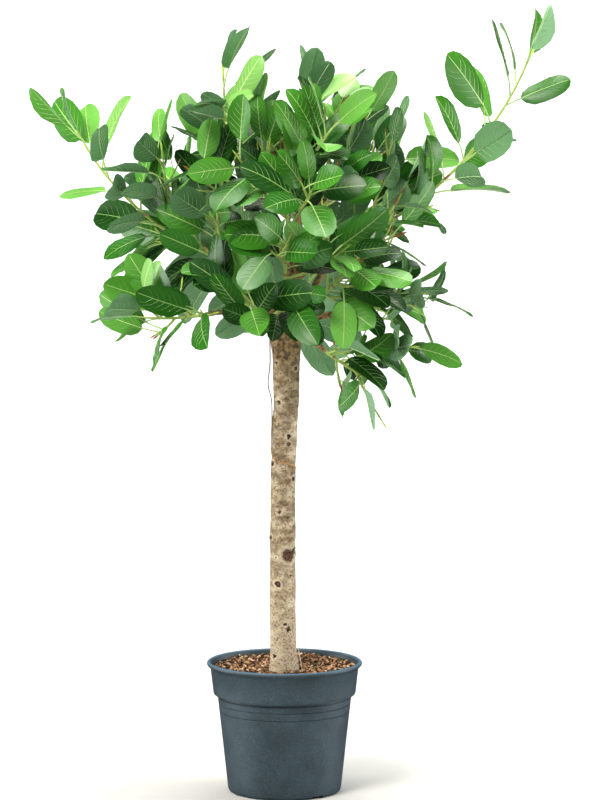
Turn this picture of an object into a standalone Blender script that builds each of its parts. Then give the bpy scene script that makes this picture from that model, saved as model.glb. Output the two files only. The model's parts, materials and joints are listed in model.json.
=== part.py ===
"""A fig grown as a standard: one bare stem with an open leafy head, in a round nursery pot.

Units are metres, +Z is up and the origin is the centre of the pot's flat underside.
-Y is the front of the plant. Headings are degrees counter-clockwise from +X, and rises
are degrees above level. Every limb, twig and leaf is worked out from the tables below.
"""

import math
import random
from collections import namedtuple

import bmesh
import bpy
from mathutils import Vector
from mathutils.bvhtree import BVHTree
from mathutils.kdtree import KDTree

UP = Vector((0, 0, 1))
GAP = 0.0003                         # clear space between pieces that touch
TURN = 137.5                         # degrees round a stem from one leaf to the next

# ---- Sizes of the pot and its soil ---------------------------------------------

POT_SIDES = 40
FOOT_RADIUS = 0.097                  # flat underside
FOOT_EDGE = (0.1066, 0.010)          # radius and height where the rounded edge ends
WALL_TOP = (0.1248, 0.174)
SHOULDER = (0.1335, 0.1865)
COLLAR_TOP = (0.1385, 0.2335)
RIM_RADIUS = 0.1453
RIM_TOP = 0.245
BEAD = 0.0042                        # radius of the rolled rim
WALL = 0.0022
FLOOR = 0.003
NOTCH = (0.016, 0.024, 0.010)        # drain notch in the foot: deep, wide, and twice its height
NOTCH_HEADINGS = (306, 66, 186)
SOIL_LEVEL = 0.227

# ---- Sizes of the trunk and boughs ---------------------------------------------

# Height, sideways lean and radius of the stem, from its flat cut on the soil to its head.
TRUNK = (
    (0.2273, -0.0012, 0.0290),
    (0.2400, -0.0012, 0.0265),
    (0.2700, -0.0022, 0.0246),
    (0.3600, -0.0030, 0.0242),
    (0.5200, -0.0032, 0.0236),
    (0.6400, -0.0010, 0.0234),
    (0.7400, 0.0036, 0.0238),
    (0.8050, 0.0040, 0.0250),
    (0.8400, 0.0030, 0.0276),
    (0.8700, 0.0024, 0.0288),
    (0.8900, 0.0020, 0.0270),
    (0.9020, 0.0018, 0.0205),
)
TRUNK_ROUND = 6                      # bevel resolution, for 16 sides
BOUGH_ROUND = 2                      # for 8 sides

# A bough leaves its parent's axis at the height start; base and tip are its radii.
Bough = namedtuple("Bough", "name parent start heading rise length lift base tip")
BOUGHS = (
    Bough("leader_bough", "trunk", 0.895, 10, 80, 0.185, 4, 0.0150, 0.0080),
    Bough("left_bough", "trunk", 0.868, 180, 37, 0.170, 20, 0.0110, 0.0070),
    Bough("low_left_bough", "trunk", 0.860, 218, 34, 0.190, -42, 0.0062, 0.0042),
    Bough("right_high_bough", "leader_bough", 0.955, 350, 38, 0.125, -8, 0.0085, 0.0058),
    Bough("right_bough", "trunk", 0.886, 353, 4, 0.125, 4, 0.0080, 0.0055),
    Bough("low_right_bough", "trunk", 0.860, 334, -4, 0.090, -34, 0.0055, 0.0042),
    Bough("back_left_bough", "trunk", 0.872, 128, 36, 0.150, 14, 0.0090, 0.0060),
    Bough("back_right_bough", "trunk", 0.872, 50, 36, 0.150, 12, 0.0090, 0.0060),
    Bough("back_bough", "trunk", 0.860, 90, 10, 0.120, 8, 0.0070, 0.0050),
    Bough("front_bough", "trunk", 0.870, 270, 44, 0.120, 10, 0.0078, 0.0055),
    Bough("front_right_bough", "trunk", 0.876, 304, 20, 0.120, 12, 0.0070, 0.0050),
    Bough("front_low_bough", "trunk", 0.858, 248, 22, 0.090, 0, 0.0062, 0.0046),
    Bough("upper_back_bough", "leader_bough", 0.985, 98, 48, 0.095, 14, 0.0065, 0.0050),
    Bough("upper_front_bough", "leader_bough", 0.975, 262, 46, 0.095, 16, 0.0065, 0.0050),
    Bough("upper_left_bough", "leader_bough", 1.000, 168, 46, 0.110, 12, 0.0065, 0.0050),
    Bough("upper_right_bough", "leader_bough", 1.025, 18, 50, 0.100, 12, 0.0062, 0.0048),
)

# ---- Sizes of the foliage ------------------------------------------------------

HEAD_CENTRE = Vector((-0.005, 0.0, 1.100))
HEAD_RADII = Vector((0.300, 0.280, 0.285))   # outline that the side shoots' leaves reach

# Each mass has one stem on its bough's tip, and side shoots that fork from the stem
# between its foot and the share fork_end of its length. The seeds are for its side
# shoots, for the leaves of its stem and for the leaves of its side shoots.
Mass = namedtuple(
    "Mass", "name bough heading rise length lift shoots fork_end twig_seed stem_seed leaf_seed")
MASSES = (
    Mass("left_leaves", "left_bough", 185, 21, 0.368, 42, 5, 0.42, 9, 2321, 136),
    Mass("right_high_leaves", "right_high_bough", 356, 24, 0.492, 44, 5, 0.36, 1, 1964, 38),
    Mass("top_leaves", "leader_bough", 80, 84, 0.200, 8, 4, 0.70, 7, 152, 158),
    Mass("low_left_leaves", "low_left_bough", 180, -10, 0.120, 16, 4, 0.80, 3, 120, 81),
    Mass("right_leaves", "right_bough", 352, 12, 0.120, 6, 5, 0.80, 0, 101, 74),
    Mass("low_right_leaves", "low_right_bough", 345, -36, 0.085, 10, 4, 0.80, 7, 134, 80),
    Mass("upper_left_leaves", "upper_left_bough", 166, 60, 0.140, 12, 5, 0.80, 4, 136, 163),
    Mass("upper_right_leaves", "upper_right_bough", 16, 62, 0.130, 12, 5, 0.80, 5, 0, 6),
    Mass("front_leaves", "front_bough", 272, 50, 0.110, 10, 4, 0.80, 4, 26, 148),
    Mass("front_right_leaves", "front_right_bough", 318, 30, 0.110, 20, 4, 0.80, 4, 142, 136),
    Mass("front_low_leaves", "front_low_bough", 244, 18, 0.100, 10, 5, 0.80, 3, 121, 48),
    Mass("upper_front_leaves", "upper_front_bough", 262, 62, 0.120, 16, 4, 0.80, 6, 91, 41),
    Mass("upper_back_leaves", "upper_back_bough", 98, 62, 0.120, 16, 4, 0.80, 6, 49, 132),
    Mass("back_left_leaves", "back_left_bough", 130, 46, 0.130, 14, 5, 0.80, 6, 112, 112),
    Mass("back_right_leaves", "back_right_bough", 48, 46, 0.130, 14, 5, 0.80, 6, 168, 21),
    Mass("back_leaves", "back_bough", 90, 18, 0.120, 14, 4, 0.80, 9, 155, 67),
)
# Long shoots beside a mass's own stem: share of the stem's length, then as for a bough.
LongShoot = namedtuple("LongShoot", "mass start heading rise length lift seed")
LONG_SHOOTS = (
    LongShoot("left_leaves", 0.19, 20, 78, 0.335, 16, 677),
    LongShoot("right_high_leaves", 0.19, 0, 66, 0.190, 14, 1936),
    LongShoot("low_right_leaves", 0.20, 350, 14, 0.150, -14, 1719),
)
LONG_LENGTH = 0.25                   # a longer shoot is free: its leaves are larger and further apart
LONG_SPACING = 0.036
LONG_LEAF = 1.14
LONG_BASE = 0.9                      # a long shoot's radius at its foot, share of its stem's there
TWIG_RADIUS = 0.0030                 # at a stem's foot
STEM_FOOT = 0.006                    # stretch of a stem that carries on its bough's direction
SHOOT_RADIUS = 0.0026                # most that a side shoot has at its foot
TIP_RADIUS = 0.0015
STEM_STEPS = 6                       # straight stretches of a bough, stem or long shoot
SHOOT_STEPS = 3                      # and of a side shoot
TWIG_CORNERS = 1.5                   # corner radius of a three-sided twig, share of a round one's
SHOOT_FORK = 48                      # degrees between a side shoot and its stem
SHOOT_LIFT = 26                      # degrees that a side shoot turns up
SHOOT_SHORTEST = 0.055
SHOOT_LONGEST = 0.170
LEAF_LENGTH = 0.101
LEAF_WIDTH = 0.51                    # share of the length
LEAF_KEEL = 0.020                    # depth of the midrib under the blade, share of the length
STALK_SHARE = 0.36                   # leaf stalk's length, share of the blade's
STALK_RADIUS = 0.0014
ROOT_SHARE = 0.55                    # a stalk's radius where it roots inside its twig, share of the full one
NODE_SPACING = 0.0235                # between leaves along a shoot
LEAF_ANGLE = 52                      # degrees between a leaf stalk and its shoot
YOUNG_SHRINK = 0.14                  # how much smaller the leaf at a shoot's tip is
YOUNG_CLOSE = 0.62                   # and how much less it opens from the shoot
STALK_RISE = 0.16                    # how much a leaf stalk turns up, share of its own direction
BLADE_SPREAD = 0.20                  # how much a blade turns out from its stalk
LIGHT = Vector((0, -0.5, 0.86))      # where most of the light that the leaves turn to comes from
OWN_FACE, LIGHT_FACE, OUT_FACE = 0.10, 0.50, 0.80   # pull on a blade's face: its twig's, light's, outward
OUT_RISE = 0.3                       # share of its rise that the outward pull keeps
TRY_TURNS = (0, 24, -24, 48, -48, 74, -74, 104, -104, 140)   # degrees tried to find room
TRY_SCALES = (1.0, 0.84)
BLADE_SECTIONS = ((0.28, 0.44), (0.70, 0.45))   # share of the length, half width as a share of the width
BLADE_DROOP = 0.09                   # how far the tip bends back, share of the length
LEAF_ROOM = 0.0018                   # added all round a leaf while it looks for room
STALK_FOOT = 0.5                     # share of a stalk that may pass close to its own mass's twigs
CLEARANCE = 0.5                      # added to a twig's corners, share of its radius
LIMB_CLEARANCE = 0.12                # added to a limb, share of its radius
LIMBS = -1                           # owner of the limbs, beside the masses' numbers

# ---- The aerial root -----------------------------------------------------------

# Height, heading round the trunk and space off the bark of the thin root that hangs from
# the head and crosses the trunk's front.
AERIAL_ROOT = (
    (0.862, 190, 0.0010),
    (0.835, 184, 0.0016),
    (0.800, 181, 0.0048),
    (0.765, 184, 0.0088),
    (0.735, 192, 0.0030),
    (0.695, 197, 0.0012),
    (0.660, 200, 0.0014),
    (0.632, 212, 0.0012),
    (0.622, 246, 0.0012),
    (0.620, 275, 0.0012),
    (0.617, 300, 0.0014),
    (0.612, 322, 0.0016),
)
ROOT_RADIUS = 0.0009
ROOT_ROUND = 1

# ---- Axes ----------------------------------------------------------------------

Axis = namedtuple("Axis", "points radii")


def direction(heading, rise):
    """Unit vector with a heading and a rise in degrees."""
    turn = math.radians(heading)
    climb = math.radians(rise)
    return Vector((math.cos(turn) * math.cos(climb), math.sin(turn) * math.cos(climb), math.sin(climb)))


def grown_axis(start, heading, rise, length, lift, base, tip, steps):
    """Axis that sets out with a heading and rise, and turns up evenly by lift degrees."""
    points = [Vector(start)]
    for step in range(steps):
        part = (step + 0.5) / steps
        points.append(points[-1] + direction(heading, rise + lift * part) * (length / steps))
    radii = [base + (tip - base) * step / steps for step in range(steps + 1)]
    return Axis(points, radii)


def on_axis(axis, share):
    """Point, unit direction and radius at a share of an axis's points."""
    place = min(max(share, 0.0), 0.9999) * (len(axis.points) - 1)
    index = int(place)
    part = place - index
    here = axis.points[index]
    there = axis.points[index + 1]
    radius = axis.radii[index] + (axis.radii[index + 1] - axis.radii[index]) * part
    return here.lerp(there, part), (there - here).normalized(), radius


def axis_length(axis):
    return sum((there - here).length for here, there in zip(axis.points, axis.points[1:]))


def across(way):
    """Level unit vector square to a direction, or +X where it is upright."""
    side = way.cross(UP)
    return side.normalized() if side.length > 0.02 else Vector((1, 0, 0))


def trunk_axis():
    points = [Vector((lean, 0, height)) for height, lean, _ in TRUNK]
    return Axis(points, [radius for _, _, radius in TRUNK])


def height_on(axis, height):
    """Point of a rising axis at a height."""
    for here, there in zip(axis.points, axis.points[1:]):
        if here.z <= height <= there.z:
            return here.lerp(there, (height - here.z) / (there.z - here.z))
    return axis.points[-1]


def limb_axes():
    """The trunk's and every bough's axis by name."""
    axes = {"trunk": trunk_axis()}
    for bough in BOUGHS:
        start = height_on(axes[bough.parent], bough.start)
        axes[bough.name] = grown_axis(
            start, bough.heading, bough.rise, bough.length, bough.lift, bough.base, bough.tip, STEM_STEPS)
    return axes


# ---- Rings and skins -----------------------------------------------------------

def tube_rings(axis, sides, swell=1.0):
    """Rings of points round an axis, each turned as little as can be from the last."""
    points = axis.points
    rings = []
    side = None
    for index, point in enumerate(points):
        way = (points[min(index + 1, len(points) - 1)] - points[max(index - 1, 0)]).normalized()
        side = across(way) if side is None else (side - way * side.dot(way)).normalized()
        other = way.cross(side)
        radius = axis.radii[index] * swell
        turns = [2 * math.pi * k / sides for k in range(sides)]
        rings.append([point + (side * math.cos(turn) + other * math.sin(turn)) * radius for turn in turns])
    return rings


def skin(rings, tip=None):
    """Points and faces of a closed skin over rings, which ends in a cap or in a point."""
    sides = len(rings[0])
    points = [point for ring in rings for point in ring]
    faces = [tuple(reversed(range(sides)))]
    for level in range(len(rings) - 1):
        low = level * sides
        for k in range(sides):
            after = (k + 1) % sides
            faces.append((low + k, low + after, low + sides + after, low + sides + k))
    last = len(points) - sides
    if tip is None:
        faces.append(tuple(range(last, last + sides)))
    else:
        points.append(tip)
        faces.extend((last + k, last + (k + 1) % sides, len(points) - 1) for k in range(sides))
    return points, faces


# ---- The plant's growth rule ---------------------------------------------------

Shoot = namedtuple("Shoot", "mass axis bare seed")
Leaf = namedtuple("Leaf", "mass root knee way face length width")


class Space:
    """What has grown so far and to which mass it belongs, so that nothing grows through it."""

    def __init__(self):
        self.bodies = []

    def add(self, mass, points, faces):
        centre = sum(points, Vector()) / len(points)
        reach = max((point - centre).length for point in points)
        self.bodies.append((mass, centre, reach, BVHTree.FromPolygons(points, faces)))

    def touched(self, points, faces, but=None):
        """Whether a body meets any other, apart from those of the mass named by but."""
        centre = sum(points, Vector()) / len(points)
        reach = max((point - centre).length for point in points)
        tree = None
        for mass, other, other_reach, other_tree in self.bodies:
            if mass == but or (other - centre).length > reach + other_reach:
                continue
            tree = tree or BVHTree.FromPolygons(points, faces)
            if other_tree.overlap(tree):
                return True
        return False


def room_to_outline(point, way):
    """Distance from a point inside the head to its outline along a direction."""
    here = Vector([(a - b) / c for a, b, c in zip(point, HEAD_CENTRE, HEAD_RADII)])
    step = Vector([a / b for a, b in zip(way, HEAD_RADII)])
    a = step.dot(step)
    b = 2 * here.dot(step)
    c = here.dot(here) - 1
    inside = b * b - 4 * a * c
    return (-b + math.sqrt(inside)) / (2 * a) if inside > 0 and c < 0 else 0.0


def side_shoot(mass, stem, index, first_turn, dice):
    """Axis of a mass's side shoot, which stops short of the head's outline."""
    share = mass.fork_end * (index + 0.6) / mass.shoots
    start, way, radius = on_axis(stem, share)
    side = across(way)
    turn = math.radians(first_turn + index * TURN)
    out = side * math.cos(turn) + way.cross(side) * math.sin(turn)
    fork = math.radians(SHOOT_FORK + dice.uniform(-8, 10))
    leaving = (way * math.cos(fork) + out * math.sin(fork)).normalized()
    heading = math.degrees(math.atan2(leaving.y, leaving.x))
    rise = math.degrees(math.asin(leaving.z))
    lift = SHOOT_LIFT * dice.uniform(0.6, 1.3) * (1 - max(rise, 0) / 90)
    middle = direction(heading, rise + lift / 2)
    room = room_to_outline(start, middle) - 0.75 * LEAF_LENGTH
    length = min(max(room, SHOOT_SHORTEST), SHOOT_LONGEST) * dice.uniform(0.86, 1.0)
    return grown_axis(start, heading, rise, length, lift, min(radius, SHOOT_RADIUS), TIP_RADIUS, SHOOT_STEPS)


def grow_shoots(limbs, space):
    """Each mass's stem, long shoots and side shoots; one that touches another is skipped."""
    shoots = []
    for number, mass in enumerate(MASSES):
        dice = random.Random(1000 + mass.twig_seed)
        bough = limbs[mass.bough]
        _, way, radius = on_axis(bough, 1)
        foot = bough.points[-1] + way * GAP
        foot_radius = min(TWIG_RADIUS, radius * 0.7)
        fork = foot + way * STEM_FOOT
        grown = grown_axis(
            fork, mass.heading, mass.rise, mass.length, mass.lift, foot_radius, TIP_RADIUS, STEM_STEPS)
        stem = Axis([foot, *grown.points], [foot_radius, *grown.radii])
        found = [Shoot(number, stem, 0.10, mass.stem_seed)]
        for long in LONG_SHOOTS:
            if long.mass == mass.name:
                start, _, radius = on_axis(stem, long.start)
                base = radius * LONG_BASE
                axis = grown_axis(
                    start, long.heading, long.rise, long.length, long.lift, base, TIP_RADIUS, STEM_STEPS)
                found.append(Shoot(number, axis, 0.16, long.seed))
        first_turn = dice.uniform(0, 360)
        for index in range(mass.shoots):
            axis = side_shoot(mass, stem, index, first_turn, dice)
            found.append(Shoot(number, axis, 0.26, mass.leaf_seed * mass.shoots + index))
        for shoot in found:
            rings = tube_rings(shoot.axis, 3, TWIG_CORNERS + CLEARANCE)
            if space.touched(*skin(rings[1:])) or space.touched(*skin(rings), number):
                continue
            space.add(number, *skin(rings))
            shoots.append(shoot)
    return shoots


def blade_droop(share):
    """How far the midrib has bent back at a share of the blade, as a share of its length."""
    return BLADE_DROOP * share * share


def leaf_sections(leaf, room=0.0):
    """Three-cornered sections of a leaf, from its root to its tip: two edges and the keel.

    With room, the leaf is as much thicker on every side as other leaves should stay away.
    """
    side = leaf.way.cross(leaf.face)
    down = -leaf.face
    stalk = STALK_RADIUS + room

    def section(middle, half, keel):
        top = middle - down * room
        return [top + side * half, middle + down * (keel + room), top - side * half]

    stalk_way = (leaf.knee - leaf.root).normalized()
    stalk_side = (side - stalk_way * side.dot(stalk_way)).normalized()
    stalk_down = stalk_way.cross(stalk_side)
    if stalk_down.dot(down) < 0:
        stalk_down = -stalk_down
    slim = stalk * ROOT_SHARE
    root = [
        leaf.root + stalk_side * slim - stalk_down * slim * 0.5,
        leaf.root + stalk_down * slim,
        leaf.root - stalk_side * slim - stalk_down * slim * 0.5]
    rings = [root, section(leaf.knee, stalk * 1.2, STALK_RADIUS * 1.6)]
    for share, half in BLADE_SECTIONS:
        middle = leaf.knee + leaf.way * (leaf.length * share) + down * (leaf.length * blade_droop(share))
        rings.append(section(middle, leaf.width * half, leaf.length * LEAF_KEEL))
    tip = leaf.knee + leaf.way * leaf.length + down * (leaf.length * blade_droop(1))
    return rings, tip


def leaf_frame(shoot, share, turn, scale, chance):
    """The leaf at a share of a shoot, turned round it; chance holds its own small changes."""
    point, way, _ = on_axis(shoot.axis, share)
    side = across(way)
    angle = math.radians(turn)
    out = side * math.cos(angle) + way.cross(side) * math.sin(angle)
    young = max(share - 0.75, 0) / 0.25
    open_angle = math.radians((LEAF_ANGLE + chance["angle"]) * (1 - YOUNG_CLOSE * young))
    stalk_way = way * math.cos(open_angle) + out * math.sin(open_angle)
    stalk_way = (stalk_way + UP * STALK_RISE).normalized()
    length = LEAF_LENGTH * chance["size"] * scale * (1 - YOUNG_SHRINK * young)
    blade_way = (stalk_way + out * BLADE_SPREAD * (1 - young) + UP * chance["droop"]).normalized()
    own_face = way * math.sin(open_angle) - out * math.cos(open_angle)
    outward = point - HEAD_CENTRE
    outward.z *= OUT_RISE
    face = own_face * OWN_FACE + LIGHT * LIGHT_FACE + outward.normalized() * OUT_FACE
    face = (face - blade_way * face.dot(blade_way)).normalized()
    twist = math.radians(chance["twist"])
    face = face * math.cos(twist) + blade_way.cross(face) * math.sin(twist)
    knee = point + stalk_way * (length * STALK_SHARE)
    return Leaf(shoot.mass, point, knee, blade_way, face, length, length * LEAF_WIDTH * chance["broad"])


def has_room(leaf, space, owner):
    """Whether a leaf stays in its mass's own space and clear of all that has grown."""
    rings, tip = leaf_sections(leaf, LEAF_ROOM)
    whole = skin(rings, tip)
    if any(owner(point) != leaf.mass for point in whole[0]) or space.touched(*whole, leaf.mass):
        return False
    rings[0] = [low.lerp(high, STALK_FOOT) for low, high in zip(rings[0], rings[1])]
    return not space.touched(*skin(rings, tip))


def grow_leaves(shoot, space, owner):
    """Leaves spaced along one shoot, each where it finds room inside its mass's own space."""
    dice = random.Random(2000 + shoot.seed)
    length = axis_length(shoot.axis)
    free = length > LONG_LENGTH
    count = max(2, round(length * (1 - shoot.bare) / (LONG_SPACING if free else NODE_SPACING)))
    first_turn = dice.uniform(0, 360)
    leaves = []
    for index in range(count):
        share = shoot.bare + (1 - shoot.bare) * (index + 0.5) / count
        chance = {
            "angle": dice.uniform(-10, 12),
            "size": dice.uniform(0.82, 1.16) * (LONG_LEAF if free else 1),
            "broad": dice.uniform(0.88, 1.10),
            "droop": dice.uniform(-0.32, 0.20),
            "twist": dice.gauss(0, 20),
        }
        tries = [(turn, scale) for scale in TRY_SCALES for turn in TRY_TURNS]
        for turn, scale in tries:
            leaf = leaf_frame(shoot, share, first_turn + index * TURN + turn, scale, chance)
            if has_room(leaf, space, owner):
                rings, tip = leaf_sections(leaf)
                space.add(leaf.mass, *skin(rings, tip))
                leaves.append(leaf)
                break
    return leaves


def space_owner(shoots):
    """Function that tells whose space a point lies in: the mass of the nearest shoot."""
    marks = []
    for shoot in shoots:
        count = max(2, round(axis_length(shoot.axis) / 0.012))
        marks.extend((on_axis(shoot.axis, k / (count - 1))[0], shoot.mass) for k in range(count))
    tree = KDTree(len(marks))
    for index, (point, _) in enumerate(marks):
        tree.insert(point, index)
    tree.balance()
    return lambda point: marks[tree.find(point)[1]][1]


def grow_plant():
    """Limbs, shoots and leaves of the whole plant."""
    limbs = limb_axes()
    space = Space()
    for axis in limbs.values():
        space.add(LIMBS, *skin(tube_rings(axis, 8, 1 + LIMB_CLEARANCE)))
    shoots = grow_shoots(limbs, space)
    owner = space_owner(shoots)
    leaves = []
    for shoot in shoots:
        leaves.extend(grow_leaves(shoot, space, owner))
    return limbs, shoots, leaves


# ---- Blender objects -----------------------------------------------------------

COLOURS = {
    "pot": ((0.062, 0.081, 0.096), 0.42),
    "soil": ((0.245, 0.130, 0.072), 0.95),
    "bark": ((0.470, 0.370, 0.240), 0.85),
    "leaf": ((0.075, 0.260, 0.035), 0.45),
}


def clear_scene():
    for thing in list(bpy.data.objects):
        bpy.data.objects.remove(thing, do_unlink=True)


def new_collection(name):
    collection = bpy.data.collections.new(name)
    bpy.context.scene.collection.children.link(collection)
    return collection


def material(name):
    colour, roughness = COLOURS[name]
    made = bpy.data.materials.new(name)
    made.use_nodes = True
    shader = made.node_tree.nodes["Principled BSDF"]
    shader.inputs["Base Color"].default_value = (*colour, 1)
    shader.inputs["Roughness"].default_value = roughness
    shader.inputs["Metallic"].default_value = 0
    made.diffuse_color = (*colour, 1)
    return made


def mesh_object(name, points, faces, collection):
    """Object with its origin at its first point."""
    mesh = bpy.data.meshes.new(name)
    mesh.from_pydata([point - points[0] for point in points], [], faces)
    made = bpy.data.objects.new(name, mesh)
    made.location = points[0]
    collection.objects.link(made)
    return made


def apply_modifier(target, modifier):
    with bpy.context.temp_override(object=target, active_object=target, selected_objects=[target]):
        bpy.ops.object.modifier_apply(modifier=modifier.name)


def boolean(target, operation, solver, other=None, group=None):
    """Boolean modifier on a target, with one object or a whole collection."""
    cut = target.modifiers.new(operation.lower(), "BOOLEAN")
    cut.operation = operation
    cut.solver = solver
    if group is None:
        cut.object = other
    else:
        cut.operand_type = "COLLECTION"
        cut.collection = group
    return cut


def limb(name, axis, roundness, collection):
    """Round tapering limb along an axis, made from a bevelled curve and closed at both ends."""
    curve = bpy.data.curves.new(name, "CURVE")
    curve.dimensions = "3D"
    curve.bevel_depth = 1.0
    curve.bevel_resolution = roundness
    curve.use_fill_caps = True
    spline = curve.splines.new("POLY")
    spline.points.add(len(axis.points) - 1)
    for knot, point, radius in zip(spline.points, axis.points, axis.radii):
        knot.co = (*(point - axis.points[0]), 1)
        knot.radius = radius
    tube = bpy.data.objects.new(name + "_curve", curve)
    tube.location = axis.points[0]
    collection.objects.link(tube)
    bpy.context.view_layer.update()
    mesh = bpy.data.meshes.new_from_object(tube.evaluated_get(bpy.context.evaluated_depsgraph_get()))
    shape = bmesh.new()
    shape.from_mesh(mesh)
    bmesh.ops.remove_doubles(shape, verts=shape.verts, dist=0.00001)
    bmesh.ops.recalc_face_normals(shape, faces=shape.faces)
    shape.to_mesh(mesh)
    shape.free()
    made = bpy.data.objects.new(name, mesh)
    made.matrix_world = tube.matrix_world
    collection.objects.link(made)
    bpy.data.objects.remove(tube, do_unlink=True)
    made.data.shade_smooth()
    made.data.set_sharp_from_angle(angle=math.radians(50))
    return made


def arc(centre, radius, first, last, steps):
    """Points of an arc in a profile, by angles in degrees."""
    angles = [math.radians(first + (last - first) * step / steps) for step in range(steps + 1)]
    return [(centre[0] + radius * math.cos(a), centre[1] + radius * math.sin(a)) for a in angles]


def inside_profile(clear):
    """The pot's inner wall from its floor up to the collar, moved in by clear."""
    inset = WALL + clear
    return [
        (FOOT_RADIUS - inset, FLOOR + clear),
        (FOOT_EDGE[0] - inset, FOOT_EDGE[1] + WALL),
        (WALL_TOP[0] - inset, WALL_TOP[1]),
        (SHOULDER[0] - inset, SHOULDER[1]),
        (COLLAR_TOP[0] - inset, COLLAR_TOP[1]),
    ]


def turned(name, profile, collection):
    """Solid turned round +Z from a profile that ends on the axis at both ends."""
    mesh = bpy.data.meshes.new(name)
    edges = [(k, k + 1) for k in range(len(profile) - 1)]
    mesh.from_pydata([(radius, 0, height) for radius, height in profile], edges, [])
    made = bpy.data.objects.new(name, mesh)
    collection.objects.link(made)
    screw = made.modifiers.new("turn", "SCREW")
    screw.steps = POT_SIDES
    screw.render_steps = POT_SIDES
    screw.use_merge_vertices = True
    screw.merge_threshold = 0.00001
    screw.use_smooth_shade = False
    return made


def make_pot(collection, cutters):
    bead = (RIM_RADIUS - BEAD, RIM_TOP - BEAD)
    profile = [(0, FLOOR), *inside_profile(0)]
    profile.append((COLLAR_TOP[0] - WALL / 2, RIM_TOP - WALL / 2))
    profile.extend(arc(bead, BEAD, 100, -60, 6))
    profile.extend((COLLAR_TOP, SHOULDER, WALL_TOP, FOOT_EDGE))
    profile.extend((((FOOT_RADIUS + FOOT_EDGE[0] + WALL) / 2, WALL), (FOOT_RADIUS, 0), (0, 0)))
    pot = turned("pot", profile, collection)
    for heading in NOTCH_HEADINGS:
        turn = math.radians(heading)
        middle = (FOOT_EDGE[0] * math.cos(turn), FOOT_EDGE[0] * math.sin(turn), 0)
        bpy.ops.mesh.primitive_cube_add(size=1, location=middle, rotation=(0, 0, turn))
        cutter = bpy.context.object
        cutter.name = f"notch_{heading}"
        cutter.scale = NOTCH
        for owner in list(cutter.users_collection):
            owner.objects.unlink(cutter)
        cutters.objects.link(cutter)
        cutter.hide_render = True
        cutter.display_type = "WIRE"
        boolean(pot, "DIFFERENCE", "EXACT", other=cutter)
    pot.data.materials.append(material("pot"))
    return pot


def make_soil(collection):
    wall = inside_profile(GAP * 1.5)
    low, high = wall[-2], wall[-1]
    part = (SOIL_LEVEL - low[1]) / (high[1] - low[1])
    edge = (low[0] + (high[0] - low[0]) * part, SOIL_LEVEL)
    profile = [(0, SOIL_LEVEL), edge, *reversed(wall[:-1]), (0, wall[0][1])]
    soil = turned("soil", profile, collection)
    soil.data.materials.append(material("soil"))
    return soil


def make_limbs(limbs, collection, cutters):
    """Trunk and boughs, each bough cut clear of its parent's bark."""
    bark = material("bark")
    for name, axis in limbs.items():
        made = limb(name, axis, TRUNK_ROUND if name == "trunk" else BOUGH_ROUND, collection)
        made.data.materials.append(bark)
    for bough in BOUGHS:
        parent = limbs[bough.parent]
        swelled = Axis(parent.points, [radius + GAP * 1.4 for radius in parent.radii])
        roundness = TRUNK_ROUND if bough.parent == "trunk" else BOUGH_ROUND
        cutter = limb(f"clear_{bough.name}", swelled, roundness, cutters)
        cut = boolean(bpy.data.objects[bough.name], "DIFFERENCE", "EXACT", other=cutter)
        apply_modifier(bpy.data.objects[bough.name], cut)
        bpy.data.objects.remove(cutter, do_unlink=True)


def make_aerial_root(trunk, collection):
    points = []
    for height, heading, space in AERIAL_ROOT:
        middle = height_on(trunk, height)
        share = next(k for k, point in enumerate(trunk.points) if point.z >= height)
        radius = max(trunk.radii[share - 1], trunk.radii[share])
        points.append(middle + direction(heading, 0) * (radius + ROOT_RADIUS + space))
    axis = Axis(points, [ROOT_RADIUS] * len(points))
    root = limb("aerial_root", axis, ROOT_ROUND, collection)
    root.data.materials.append(material("bark"))
    return root


def keep_largest(shape):
    """Drop loose scraps and sealed hollows: every shell but the one with the most faces."""
    left = set(shape.faces)
    shells = []
    while left:
        front = [left.pop()]
        shell = set(front)
        while front:
            for edge in front.pop().edges:
                for face in edge.link_faces:
                    if face in left:
                        left.discard(face)
                        shell.add(face)
                        front.append(face)
        shells.append(shell)
    largest = max(shells, key=len)
    dropped = [face for shell in shells if shell is not largest for face in shell]
    bmesh.ops.delete(shape, geom=dropped, context="FACES")
    loose = [vert for vert in shape.verts if not vert.link_faces]
    bmesh.ops.delete(shape, geom=loose, context="VERTS")


def make_mass(name, shoots, leaves, paint, collection):
    """One mass of foliage: its stem, with every shoot and leaf fused on."""
    joining = new_collection("joining")
    stem, *others = shoots
    made = mesh_object(name, *skin(tube_rings(stem.axis, 3, TWIG_CORNERS)), collection)
    for shoot in others:
        mesh_object("shoot", *skin(tube_rings(shoot.axis, 3, TWIG_CORNERS)), joining)
    for leaf in leaves:
        mesh_object("leaf", *skin(*leaf_sections(leaf)), joining)
    join = boolean(made, "UNION", "MANIFOLD", group=joining)
    apply_modifier(made, join)
    for thing in list(joining.objects):
        bpy.data.objects.remove(thing, do_unlink=True)
    bpy.data.collections.remove(joining)
    shape = bmesh.new()
    shape.from_mesh(made.data)
    keep_largest(shape)
    bmesh.ops.triangulate(shape, faces=shape.faces)
    shape.to_mesh(made.data)
    shape.free()
    made.data.materials.clear()
    made.data.materials.append(paint)
    return made


def main():
    clear_scene()
    plant = new_collection("fig_standard")
    cutters = new_collection("cutters")
    limbs, shoots, leaves = grow_plant()
    make_pot(plant, cutters)
    make_soil(plant)
    make_limbs(limbs, plant, cutters)
    make_aerial_root(limbs["trunk"], plant)
    paint = material("leaf")
    for number, mass in enumerate(MASSES):
        own_shoots = [shoot for shoot in shoots if shoot.mass == number]
        own_leaves = [leaf for leaf in leaves if leaf.mass == number]
        make_mass(mass.name, own_shoots, own_leaves, paint, plant)


if __name__ == "__main__":
    main()
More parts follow.
